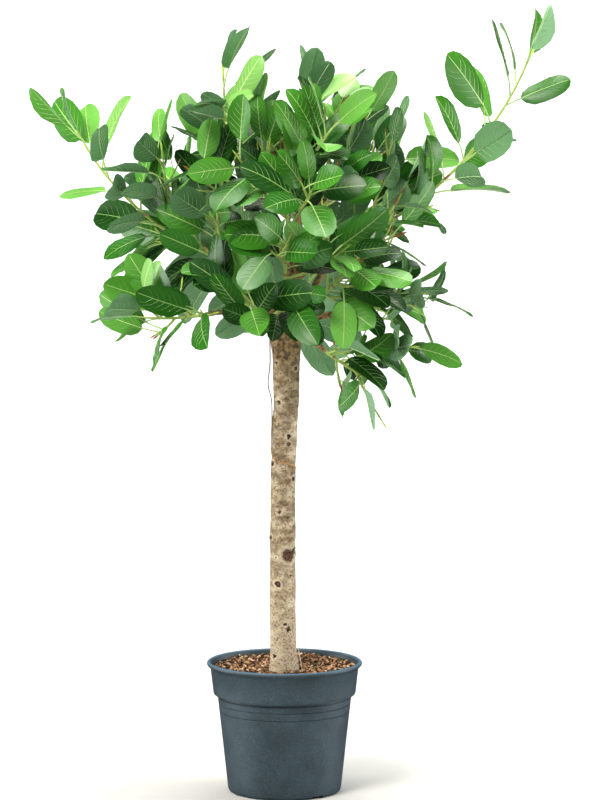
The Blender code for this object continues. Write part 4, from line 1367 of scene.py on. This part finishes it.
def round_bar(name, line, paint, roundness):
    """A bevelled curve along a line of points and radii, turned to a closed mesh."""
    curve = bpy.data.curves.new(name, "CURVE")
    curve.dimensions = "3D"
    curve.bevel_depth = 1.0
    curve.bevel_resolution = roundness
    curve.use_fill_caps = True
    spline = curve.splines.new("POLY")
    spline.points.add(len(line.points) - 1)
    for knot, point, radius in zip(spline.points, line.points, line.radii):
        knot.co = (*point, 1)
        knot.radius = radius
    bar = bpy.data.objects.new(name, curve)
    bpy.context.collection.objects.link(bar)
    make_active(bar)
    bpy.ops.object.convert(target="MESH")
    bar = bpy.context.object
    bar.data.materials.append(paint)
    bpy.ops.object.mode_set(mode="EDIT")
    bpy.ops.mesh.select_all(action="SELECT")
    bpy.ops.mesh.remove_doubles(threshold=MERGED)
    turn_outward()
    return bar


def roughen(bar, size, depth, seed):
    """Knots about size metres apart and depth metres high on a bar, with finer wrinkles."""
    points = points_of(bar)
    normals = [Vector(vert.normal) for vert in bar.data.vertices]
    for point, normal in zip(points, normals):
        here = Vector(point)
        knots = noise.noise(here / size + Vector((seed, 0, 0)))
        wrinkles = noise.noise(here / size * WRINKLES) * WRINKLE_HEIGHT
        point += np.array(normal) * (knots + wrinkles) * depth
    set_points(bar, points)
    smooth(bar, degrees=70)


def make_boughs(limbs, paint):
    """Each bough with its swollen foot and knotty bark."""
    for number, bough in enumerate(BOUGHS):
        line = smooth_line(limbs[bough.name], BOUGH_STEPS)
        along = 0.0
        radii = []
        for k, (point, radius) in enumerate(zip(line.points, line.radii)):
            if k:
                along += (point - line.points[k - 1]).length
            near = max(0.0, 1 - along / (bough.base * SWELL_REACH))
            radii.append(radius * (1 + FOOT_SWELL * near ** 2))
        limb = round_bar("bark_of_" + bough.name, Axis(line.points, radii), paint, roundness=5)
        roughen(limb, size=1 / BOUGH_KNOTS, depth=bough.base * KNOT_HEIGHT, seed=number)
        stand_for(limb, "bark", bough.name)


# ---- The aerial root and a dead twig -------------------------------------------

# Height, heading round the trunk and space off the bark of the thin root that hangs from
# the head and crosses the trunk's front.
AERIAL_ROOT = (
    (0.862, 190, 0.0010), (0.835, 184, 0.0016), (0.800, 181, 0.0048), (0.765, 184, 0.0088),
    (0.735, 192, 0.0030), (0.695, 197, 0.0012), (0.660, 200, 0.0014), (0.632, 212, 0.0012),
    (0.622, 246, 0.0012), (0.620, 275, 0.0012), (0.617, 300, 0.0014), (0.612, 322, 0.0016),
)
ROOT_RADIUS = 0.0011
ROOT_TAPER = (1.15, 0.35)            # its radius at the head, and what it loses, in root radii
FRESH_ROOT = (0.675, 0.640)          # heights where its fresh skin starts and is full
# Slope in degrees, and length, of the two ends that it frays into.
FRAYS = ((-14, 0.010), (20, 0.008))
FRAY_LEAN = 0.8                      # how much of that slope they take
FRAY_BENDS = ((0.5, 0.0), (0.8, 0.4), (1.0, 0.7))   # share of the way to the root's end, and of length
FRAY_RADII = (0.6, 0.6, 0.3)         # in root radii
# Points of a dry twig that leans on the trunk's foot, and its radii there.
DEAD_TWIG = ((0.0335, -0.0270, 0.2280), (0.0310, -0.0240, 0.2440), (0.0272, -0.0210, 0.2620),
             (0.0248, -0.0195, 0.2790))
DEAD_RADII = (0.0014, 0.0012, 0.0010, 0.0006)


def root_skin():
    """Thin papery skin of an aerial root: dry grey-brown where it hangs, fresh ochre on the bark."""
    made, tree, shader = new_material("aerial_root_skin", "#a87a48", roughness=0.75, ior=1.45)
    place = add_node(tree, "ShaderNodeTexCoord", {}, "Object")
    height = add_node(tree, "ShaderNodeSeparateXYZ", {0: place}, "Z")
    base = turned_to(tree, hex_colour("#6a5138"), hex_colour("#b07a3a"), height, *FRESH_ROOT)
    base = strewn(tree, base, place, 0.0040, "#6d4c2b", (0.54, 0.66), most=0.8)
    tree.links.new(base, shader.inputs["Base Color"])
    return made


def make_aerial_root(trunk):
    """The thin root that hangs from the head, crosses the bark and frays at its end."""
    paint = root_skin()
    points = []
    for height, heading, space in AERIAL_ROOT:
        outward = direction(heading, 0)
        points.append(height_on(trunk, height) + outward * (trunk_radius(height) + ROOT_RADIUS + space))
    last = len(points) - 1
    radii = [ROOT_RADIUS * (ROOT_TAPER[0] - ROOT_TAPER[1] * k / last) for k in range(last + 1)]
    line = smooth_line(Axis(points, radii), steps=5)
    root = round_bar("aerial_root_strand", line, paint, roundness=3)
    roughen(root, size=0.012, depth=ROOT_RADIUS * 0.20, seed=3)
    stand_for(root, "bark", "aerial_root")
    middle, end = points[-2:]
    for number, (slope, reach) in enumerate(FRAYS):
        way = (end - middle).normalized()
        away = (way + UP * math.tan(math.radians(slope)) * FRAY_LEAN).normalized()
        fray = [middle.lerp(end, share) + away * reach * out for share, out in FRAY_BENDS]
        girths = [ROOT_RADIUS * share for share in FRAY_RADII]
        strand = round_bar(f"root_fray_{number + 1}", Axis(fray, girths), paint, roundness=2)
        smooth(strand, degrees=60)
        stand_for(strand, "bark")


def make_dead_twig(paint):
    """A dry twig that stands in the mix and leans on the trunk's foot."""
    line = smooth_line(Axis([Vector(point) for point in DEAD_TWIG], DEAD_RADII), steps=4)
    twig = round_bar("dead_twig", line, paint, roundness=3)
    roughen(twig, size=0.006, depth=0.0003, seed=5)
    stand_for(twig, "bark")


# ---- Twigs ---------------------------------------------------------------------

WOODY_RADIUS = 0.0030                # a shoot thicker than this has turned woody
NODE_SWELL = 1.30                    # the ring that a fallen sheath leaves at each leaf
TWIG_FULL = 1.12                     # a round twig's radius, share of its three-sided solid's
TWIG_SIDES = 6
TWIG_STEPS = 4                       # between two points of a twig's axis
TWIG_POINT = 1.6                     # length of a twig's pointed end, in its radii there
NODE_REACH = 0.002                   # share of a twig that is swollen on both sides of a node
RING_LEAST = 0.0009                  # between two rings of a twig


def twig_line(axis, bare, count):
    """Axis of a twig, each of its leaf nodes marked by a low swelling."""
    line = smooth_line(axis, TWIG_STEPS)
    last = len(line.points) - 1
    nodes = [bare + (1 - bare) * (index + 0.5) / count for index in range(count)]
    points = []
    radii = []
    for mark in sorted([k / last for k in range(last + 1)] + nodes):
        place = min(mark, NEARLY_ALL) * last
        index = int(place)
        part = place - index
        point = line.points[index].lerp(line.points[index + 1], part)
        if points and (point - points[-1]).length < RING_LEAST:
            continue
        radius = line.radii[index] + (line.radii[index + 1] - line.radii[index]) * part
        near = min(abs(mark - node) for node in nodes)
        points.append(point)
        radii.append(radius * TWIG_FULL * (NODE_SWELL if near < NODE_REACH else 1.0))
    return Axis(points, radii)


def make_twigs(name, twigs, paints):
    """All the twigs of one mass, woody where they are thick and green where they are young."""
    joined = Joined()
    for twig in twigs:
        count = max(2, round(axis_length(twig.axis) * (1 - twig.bare) / NODE_SPACING))
        line = twig_line(twig.axis, twig.bare, count)
        rings = tube_rings(line, TWIG_SIDES)
        way = (line.points[-1] - line.points[-2]).normalized()
        points, faces = skin(rings, line.points[-1] + way * line.radii[-1] * TWIG_POINT)
        slots = [0]
        for radius in line.radii[:-1]:
            slots.extend([1 if radius > WOODY_RADIUS * TWIG_FULL else 0] * TWIG_SIDES)
        slots.extend([0] * TWIG_SIDES)
        joined.add([tuple(point) for point in points], faces, slots)
    return joined.make(name, paints, sharp=60)


# ---- Leaves --------------------------------------------------------------------

# An oval blade's outline: share of its length, and half width as a share of the widest.
BLADE_OUTLINE = ((0.0, 0.05), (0.06, 0.50), (0.20, 0.90), (0.42, 1.06), (0.64, 1.05), (0.82, 0.86),
                 (0.94, 0.55), (1.0, 0.12))
BLADE_COLUMNS = (-1.0, -0.52, 0.0, 0.52, 1.0)
BLADE_THICK = 0.010                  # share of the length
VEIN_STARTS = (0.045, 0.16, 0.28, 0.41, 0.54, 0.66)   # along the midrib
VEIN_REACH = 0.90                    # how near to the margin a side vein ends
VEIN_LEAN = 1.02                     # how far it runs forward, share of its reach
VEIN_BENDS = ((0.50, 0.44), (VEIN_REACH, 1.0))   # its points: share of the way out, and of that lean
VEIN_AHEAD = 0.10                    # how far ahead of its start the blade's width sets its lean
VEIN_FARTHEST = 0.97                 # share of the blade that no side vein passes
VEIN_HALF = 0.0042                   # half width at its foot, share of the length
VEIN_TAPER = (1.1, 0.5)              # share of that at the blade's foot, and what is lost to its tip
VEIN_THIN = 0.75                     # share of it halfway out
VEIN_PROUD, VEIN_DEEP = 0.0052, 0.008   # above and beneath the blade
RIB_HALF, RIB_TAPER = 0.0105, 0.62   # the midrib's half width at its foot, and what it loses
RIB_PROUD, RIB_DEEP = 0.0050, 0.016
RIB_END = 0.985                      # share of the blade where the midrib ends
KEEL_SUNK = 0.6                      # how far the blade lies under the leaf's top, share of its keel
WAVE_PACE, WAVE_SHIFT = 7.0, 1.6     # radians of a margin's wave along it, and between the two
STALK_THICK = 0.0145                 # a stalk's radius, share of the blade's length
STALK_RADII = (1.35, 1.0, 0.95, 1.0)    # shares of that from its foot to its end
STALK_BOW = -0.12                    # how far it bows, share of its length
STALK_BENDS = ((0.30, 1.0), (0.72, 0.8))   # share of its way, and of its bow
STALK_OVERLAP = 0.02                 # how far it runs into the midrib, share of the blade's length
HEAD_LEAF = 0.90                     # a blade's length in the head, where it has grown in shade
FREE_REACH = 1.15                    # how far out a leaf stands clear of the head
# How each cut of blade folds up along its midrib, cups, waves and curls its tip.
Cut = namedtuple("Cut", "fold cup wave phase curl")
CUTS = (
    Cut(0.16, 0.05, 0.014, 0.0, 0.03),
    Cut(0.32, 0.03, 0.018, 1.1, 0.08),
    Cut(0.10, 0.09, 0.024, 2.3, 0.02),
    Cut(0.42, 0.02, 0.012, 3.0, 0.12),
    Cut(0.20, -0.05, 0.030, 4.2, -0.05),
    Cut(0.26, 0.07, 0.020, 5.1, 0.07),
    Cut(0.12, 0.03, 0.034, 0.7, 0.16),
)


def blade_half(share):
    """Half width of a blade, share of its length at the width in the table."""
    shares = [row[0] for row in BLADE_OUTLINE]
    return float(np.interp(share, shares, [row[1] for row in BLADE_OUTLINE])) * LEAF_WIDTH / 2


def blade_point(cut, across_share, share):
    """Point of a blade one unit long: x across, y along and z toward its face."""
    reach = across_share * blade_half(share)
    full = 2 * reach / LEAF_WIDTH
    phase = cut.phase + (WAVE_SHIFT if across_share > 0 else 0.0)
    wave = cut.wave * math.sin(share * WAVE_PACE + phase) * across_share ** 2
    droop = blade_droop(share) + cut.curl * share ** 3 + LEAF_KEEL * KEEL_SUNK
    return Vector((reach, share, cut.fold * abs(reach) - cut.cup * full ** 2 + wave - droop))


def on_blade(cut, across_share, share):
    """Point on a blade's faces, between the rows and columns of its grid."""
    shares = [row[0] for row in BLADE_OUTLINE]
    row = min(int(np.searchsorted(shares, share, side="right")) - 1, len(shares) - 2)
    column = min(int(np.searchsorted(BLADE_COLUMNS, across_share, side="right")) - 1, len(BLADE_COLUMNS) - 2)
    left, right = BLADE_COLUMNS[column:column + 2]
    sideways = (across_share - left) / (right - left)
    low, high = [blade_point(cut, left, at).lerp(blade_point(cut, right, at), sideways)
                 for at in shares[row:row + 2]]
    return low.lerp(high, (share - shares[row]) / (shares[row + 1] - shares[row]))


def model_blade(cut):
    """One blade: a grid drawn to a leaf's outline, doubled, and closed along its margin."""
    columns, rows = len(BLADE_COLUMNS), len(BLADE_OUTLINE)
    bpy.ops.mesh.primitive_grid_add(x_subdivisions=columns - 1, y_subdivisions=rows - 1, size=1)
    blade = added("blade")
    shaped = []
    for point in points_of(blade):
        column = round((point[0] + 0.5) * (columns - 1))
        row = round((point[1] + 0.5) * (rows - 1))
        shaped.append(blade_point(cut, BLADE_COLUMNS[column], BLADE_OUTLINE[row][0]))
    set_points(blade, shaped)
    count = len(shaped)
    bpy.ops.object.mode_set(mode="EDIT")
    bpy.ops.mesh.select_all(action="SELECT")
    bpy.ops.mesh.duplicate()
    bpy.ops.mesh.flip_normals()
    bpy.ops.object.mode_set(mode="OBJECT")
    points = points_of(blade)
    for index in range(count, len(points)):
        row, column = divmod(index - count, columns)
        if 0 < column < columns - 1 and 0 < row < rows - 1:
            points[index][2] -= BLADE_THICK
    set_points(blade, points)
    for side in ("blade_top", "blade_back"):     # they only hold the places of the real ones
        blade.data.materials.append(bpy.data.materials.get(side) or bpy.data.materials.new(side))
    for face in blade.data.polygons:
        face.material_index = 1 if min(face.vertices) >= count else 0
    bpy.ops.object.mode_set(mode="EDIT")
    bpy.ops.mesh.select_all(action="SELECT")
    bpy.ops.mesh.remove_doubles(threshold=MERGED)
    bpy.ops.object.mode_set(mode="OBJECT")
    return template_of(blade)


def rib(line, halves, proud, deep):
    """Three-cornered rib along a line on a blade, closed to a point: flat above it, a ridge beneath.

    The first of every three faces along it is the flat one.
    """
    points = []
    for k, (here, half) in enumerate(zip(line[:-1], halves)):
        way = (line[k + 1] - here).normalized()
        side = way.cross(UP).normalized()
        points.extend([here + side * half + UP * proud, here - side * half + UP * proud, here - UP * deep])
    points.append(line[-1] + UP * proud * 0.5)
    count = len(line) - 1
    faces = []
    for k in range(count - 1):
        low = k * 3
        for corner in range(3):
            after = (corner + 1) % 3
            faces.append((low + after, low + corner, low + 3 + corner, low + 3 + after))
    low = (count - 1) * 3
    faces.extend((low + (corner + 1) % 3, low + corner, count * 3) for corner in range(3))
    return points, [*faces, (0, 1, 2)]


def model_veins(cut):
    """One blade's midrib and side veins: numbered 1 and 0 above the blade, and 2 beneath it."""
    shares = [row[0] for row in BLADE_OUTLINE[:-1]] + [RIB_END]
    midrib = [blade_point(cut, 0, share) for share in shares]
    halves = [RIB_HALF * (1 - RIB_TAPER * share) for share in shares[:-1]]
    ribs = [(midrib, halves, RIB_PROUD, BLADE_THICK + RIB_DEEP, 1)]
    for start in VEIN_STARTS:
        lead = VEIN_LEAN * blade_half(start + VEIN_AHEAD)
        half = VEIN_HALF * (VEIN_TAPER[0] - VEIN_TAPER[1] * start)
        for side in (-1, 1):
            line = [on_blade(cut, 0, start)]
            for out, ahead in VEIN_BENDS:
                line.append(on_blade(cut, side * out, min(start + lead * ahead, VEIN_FARTHEST)))
            ribs.append((line, [half, half * VEIN_THIN], VEIN_PROUD, BLADE_THICK + VEIN_DEEP, 0))
    points = []
    faces = []
    slots = []
    for line, halves, proud, deep, slot in ribs:
        new_points, new_faces = rib(line, halves, proud, deep)
        faces.extend(tuple(index + len(points) for index in face) for face in new_faces)
        slots.extend(slot if index % 3 == 0 else 2 for index in range(len(new_faces)))
        points.extend(new_points)
    return np.array([tuple(point) for point in points]), faces, slots


def leaf_matrix(leaf):
    """Rows that take a blade's own x, y and z to the plant's directions, at its real size."""
    side = leaf.way.cross(leaf.face)
    broad = leaf.width / (leaf.length * LEAF_WIDTH)
    size = leaf.length * (HEAD_LEAF if head_reach(leaf.knee).length < FREE_REACH else 1.0)
    return np.array([side * size * broad, leaf.way * size, leaf.face * size])


def stalk_shape(leaf):
    """A leaf's stalk: thick at its foot, and bowed into the blade's midrib."""
    start, end = leaf.root, leaf.knee
    bow = (leaf.way - (end - start).normalized()) * (end - start).length * STALK_BOW
    inside = leaf.face * (-LEAF_KEEL * KEEL_SUNK * leaf.length)
    points = [start, *(start.lerp(end, share) + bow * part for share, part in STALK_BENDS),
              end + inside + leaf.way * leaf.length * STALK_OVERLAP]
    radii = [leaf.length * STALK_THICK * share for share in STALK_RADII]
    return skin(tube_rings(Axis(points, radii), sides=5))


TOP_GREENS = ("#072a02", "#0f3f04", "#1d5807", "#2f6d12", "#438224", "#579238", "#699e49", "#7cab5f")
# darkest first: the darker ones go to undersides deep in the head, as painted shade
UNDER_GREENS = ("#395f36", "#4d784b", "#608c60", "#719c72")
VEIN_GREENS = ("#48772f", "#6c9c48", "#97bf70")   # side veins of dark, middling and light leaves
RIB_GREENS = ("#7fa557", "#9cba6e", "#b9d08b")    # their midribs and stalks
BACK_VEIN = "#adc797"                # all of them as seen from beneath
# How light a leaf's green is, from 0 for the first green to 1 past the last: partly how fresh it
# is, and partly painted light and shade. On a free shoot: the middle, what it loses to the
# right as painted shade, what height adds, and the usual chance.
FREE_TONE, FREE_RIGHT_SHADE, FREE_HEIGHT, FREE_CHANCE = 0.52, 0.08, 0.05, 0.07
# In the head: the middle, where a leaf is neither far out nor deep inside, and the chance.
HEAD_TONE, HEAD_REACH, HEAD_CHANCE = 0.46, 0.85, 0.17
HEIGHT_FRESH_AND_LIT = (0.30, 0.56)          # what height adds below and above the head's middle: fresher growth and painted top light
REACH_FRESH_AND_SHADE = (0.40, 0.80)           # what reach adds there: fresher far out, and painted shade deep inside
BACK_SHADE_STEPS = 1.9                     # steps through the pale greens from the middle to the edge: darker inside, as painted shade
BACK_CHANCE = (0.1, 1.9)             # and those added by chance
BLADE_SEED, SHEATH_SEED = 60, 100    # added to a mass's number


def top_colour(leaf, dice):
    """Which green a leaf's upper side gets: lighter at the top and on free shoots, partly fresher growth and
    partly painted light, with painted shade to the right; darker deep inside and below, partly painted
    shade.
    """
    reach = head_reach(leaf.knee)
    if reach.length > FREE_REACH:
        level = FREE_TONE - FREE_RIGHT_SHADE * reach.x + FREE_HEIGHT * min(reach.z, 1.0)
        level += dice.gauss(0, FREE_CHANCE)
    else:
        above = reach.z > 0
        level = HEAD_TONE + HEIGHT_FRESH_AND_LIT[above] * reach.z + dice.gauss(0, HEAD_CHANCE)
        level += REACH_FRESH_AND_SHADE[above] * (reach.length - HEAD_REACH)
    return min(max(int(level * len(TOP_GREENS)), 0), len(TOP_GREENS) - 1)


def back_colour(leaf, dice):
    """Which pale green its underside gets: darker deeper inside the head, as painted shade."""
    level = head_reach(leaf.knee).length * BACK_SHADE_STEPS + dice.uniform(*BACK_CHANCE)
    return min(int(level), len(UNDER_GREENS) - 1)


def leaf_paints():
    """Waxy evergreen leaves: a broad soft shine over deep to fresh green, and a dull pale back."""
    tops = [plain_material(f"waxy_leaf_{k + 1}", colour, roughness=0.40, ior=1.40)
            for k, colour in enumerate(TOP_GREENS)]
    backs = [plain_material(f"leaf_back_{k + 1}", colour, roughness=0.62, ior=1.42)
             for k, colour in enumerate(UNDER_GREENS)]
    return [*tops, *backs]


def vein_paints():
    """Satin veins and stalks, paler than the blades and palest beneath."""
    return [plain_material(f"leaf_vein_{k + 1}", colour, roughness=0.50, ior=1.45)
            for k, colour in enumerate((*VEIN_GREENS, *RIB_GREENS, BACK_VEIN))]


def twig_paints():
    """Green young shoots with a faint shine, and twigs whose skin has turned to dull bark."""
    return [plain_material("green_shoot", "#8fa650", roughness=0.55, ior=1.45),
            plain_material("woody_twig", "#84694a", roughness=0.80, ior=1.45)]


def sheath_paints():
    """Bud sheaths: lime and glossy while they are fresh, then ruddy, and papery once dry."""
    return [plain_material("lime_sheath", "#a9c350", roughness=0.45, ior=1.45),
            plain_material("ruddy_sheath", "#8c7a45", roughness=0.55, ior=1.45),
            plain_material("dry_stipule", "#8a552f", roughness=0.70, ior=1.45)]


def make_blades(name, leaves, blades, paints, seed):
    """All the blades of one mass, each with its own cut and its own greens."""
    dice = random.Random(seed)
    joined = Joined()
    choices = []
    for leaf in leaves:
        cut = dice.randrange(len(CUTS))
        top = top_colour(leaf, dice)
        back = len(TOP_GREENS) + back_colour(leaf, dice)
        choices.append((cut, top * len(VEIN_GREENS) // len(TOP_GREENS)))
        points, faces, slots = blades[cut]
        placed = points @ leaf_matrix(leaf) + np.array(leaf.knee)
        joined.add(placed, faces, [(top, back)[slot] for slot in slots])
    return joined.make(name, paints, sharp=50), choices


def make_veins(name, leaves, choices, veins, paints):
    """All the leaf stalks, midribs and side veins of one mass."""
    joined = Joined()
    for leaf, (cut, shade) in zip(leaves, choices):
        points, faces, slots = veins[cut]
        midrib = len(VEIN_GREENS) + shade
        paint_of = (shade, midrib, len(VEIN_GREENS) * 2)
        placed = points @ leaf_matrix(leaf) + np.array(leaf.knee)
        joined.add(placed, faces, [paint_of[slot] for slot in slots])
        points, faces = stalk_shape(leaf)
        joined.add([tuple(point) for point in points], faces, [midrib] * len(faces))
    return joined.make(name, paints, sharp=60)


# Lean, height and radius of a sheath's rings from the top of its foot, share of its length.
SHEATH_RINGS = ((0, 0.20, 0.075), (0, 0.38, 0.0975), (0, 0.60, 0.08385), (0, 0.82, 0.0461175),
                (0, 0.98, 0.0092235))
SHEATH_OVERLAP = 0.001               # how far a sheath reaches down over its shoot's end
LIME, RUDDY, DRY = range(3)
SHEATH_KINDS = (LIME, LIME, RUDDY, RUDDY, DRY)   # as often in the head as they stand here
FREE_SHEATHS = (0.030, 0.037)        # shortest and longest on a free shoot
HEAD_SHEATHS = (0.011, 0.020)        # and in the head
DRY_LONGER, FREE_SLIMMER = 1.5, 0.80


def model_sheath():
    """The pointed sheath that wraps a shoot's growing tip, one unit long."""
    _, height, radius = SHEATH_RINGS[0]
    bpy.ops.mesh.primitive_cylinder_add(
        vertices=6, radius=radius, depth=height, location=(0, 0, height / 2))
    sheath = added("sheath")
    select_tops(sheath)
    raise_rings(SHEATH_RINGS)
    bpy.ops.object.mode_set(mode="OBJECT")
    apply_all(sheath)
    return template_of(sheath)


def make_sheaths(name, twigs, sheath, paints, seed):
    """The bud sheath on every growing tip: long and lime on free shoots, ruddy or dry on some others."""
    dice = random.Random(seed)
    points, faces, _ = sheath
    joined = Joined()
    for twig in twigs:
        end, way, _ = on_axis(twig.axis, 1)
        free = axis_length(twig.axis) > LONG_LENGTH
        kind = LIME if free or twig.seed == BARE_SEED else dice.choice(SHEATH_KINDS)
        length = dice.uniform(*(FREE_SHEATHS if free else HEAD_SHEATHS))
        length *= DRY_LONGER if kind == DRY else 1
        thick = length * (FREE_SLIMMER if free else 1.0)
        side = across(way)
        rows = np.array([side * thick, way.cross(side) * thick, way * length])
        joined.add(points @ rows + np.array(end - way * SHEATH_OVERLAP), faces, [kind] * len(faces))
    return joined.make(name, paints, sharp=50)


# A leafless shoot hangs out of the low right mass: where it leaves, and its way.
BARE_START = Vector((0.129, -0.030, 0.774))
BARE_HEADING, BARE_RISE, BARE_LENGTH, BARE_LIFT = 350, -66, 0.104, 10
BARE_RADIUS = 0.0021
BARE_SHARES = [k / 12 for k in range(3, 13)]   # where along a shoot it may start
BARE_SEED = -1                       # marks it among the twigs


def bare_shoot(shoots):
    """The leafless shoot, from the nearest point on its mass's twigs."""
    number = [mass.name for mass in MASSES].index("low_right_leaves")
    own = [shoot for shoot in shoots if shoot.mass == number]
    places = [on_axis(shoot.axis, share)[0] for shoot in own for share in BARE_SHARES]
    start = min(places, key=lambda place: (place - BARE_START).length)
    axis = grown_axis(
        start, BARE_HEADING, BARE_RISE, BARE_LENGTH, BARE_LIFT, BARE_RADIUS, TIP_RADIUS, SHOOT_STEPS)
    return Shoot(number, axis, SPUR_BARE, BARE_SEED)


def make_foliage(shoots, spurs, leaves):
    """Every mass: its twigs, blades, veins and sheaths, each kind joined in one piece."""
    blades = [model_blade(cut) for cut in CUTS]
    veins = [model_veins(cut) for cut in CUTS]
    sheath = model_sheath()
    greens, ribs, woods, scales = leaf_paints(), vein_paints(), twig_paints(), sheath_paints()
    twigs = [*shoots, *spurs, bare_shoot(shoots)]
    for number, mass in enumerate(MASSES):
        own_twigs = [twig for twig in twigs if twig.mass == number]
        own_leaves = [leaf for leaf in leaves if leaf.mass == number]
        plain = mass.name.replace("_leaves", "")
        stand_for(make_twigs(plain + "_twigs", own_twigs, woods), "foliage", mass.name)
        piece, choices = make_blades(plain + "_blades", own_leaves, blades, greens, BLADE_SEED + number)
        stand_for(piece, "foliage")
        stand_for(make_veins(plain + "_veins", own_leaves, choices, veins, ribs), "foliage")
        tips = make_sheaths(plain + "_sheaths", own_twigs, sheath, scales, SHEATH_SEED + number)
        stand_for(tips, "foliage")


# ---- The whole plant -----------------------------------------------------------

def main():
    deselect_all()
    place_camera()
    light_studio()
    make_studio_floor()
    make_pot()
    make_soil()
    make_chips()
    limbs, shoots, spurs, leaves = grow_all()
    scars = scar_places(limbs["trunk"])
    make_trunk(fig_bark("fig_bark", scars), scars)
    bough_bark = fig_bark("bough_bark", [])
    make_boughs(limbs, bough_bark)
    make_dead_twig(bough_bark)
    make_aerial_root(limbs["trunk"])
    make_foliage(shoots, spurs, leaves)


main()
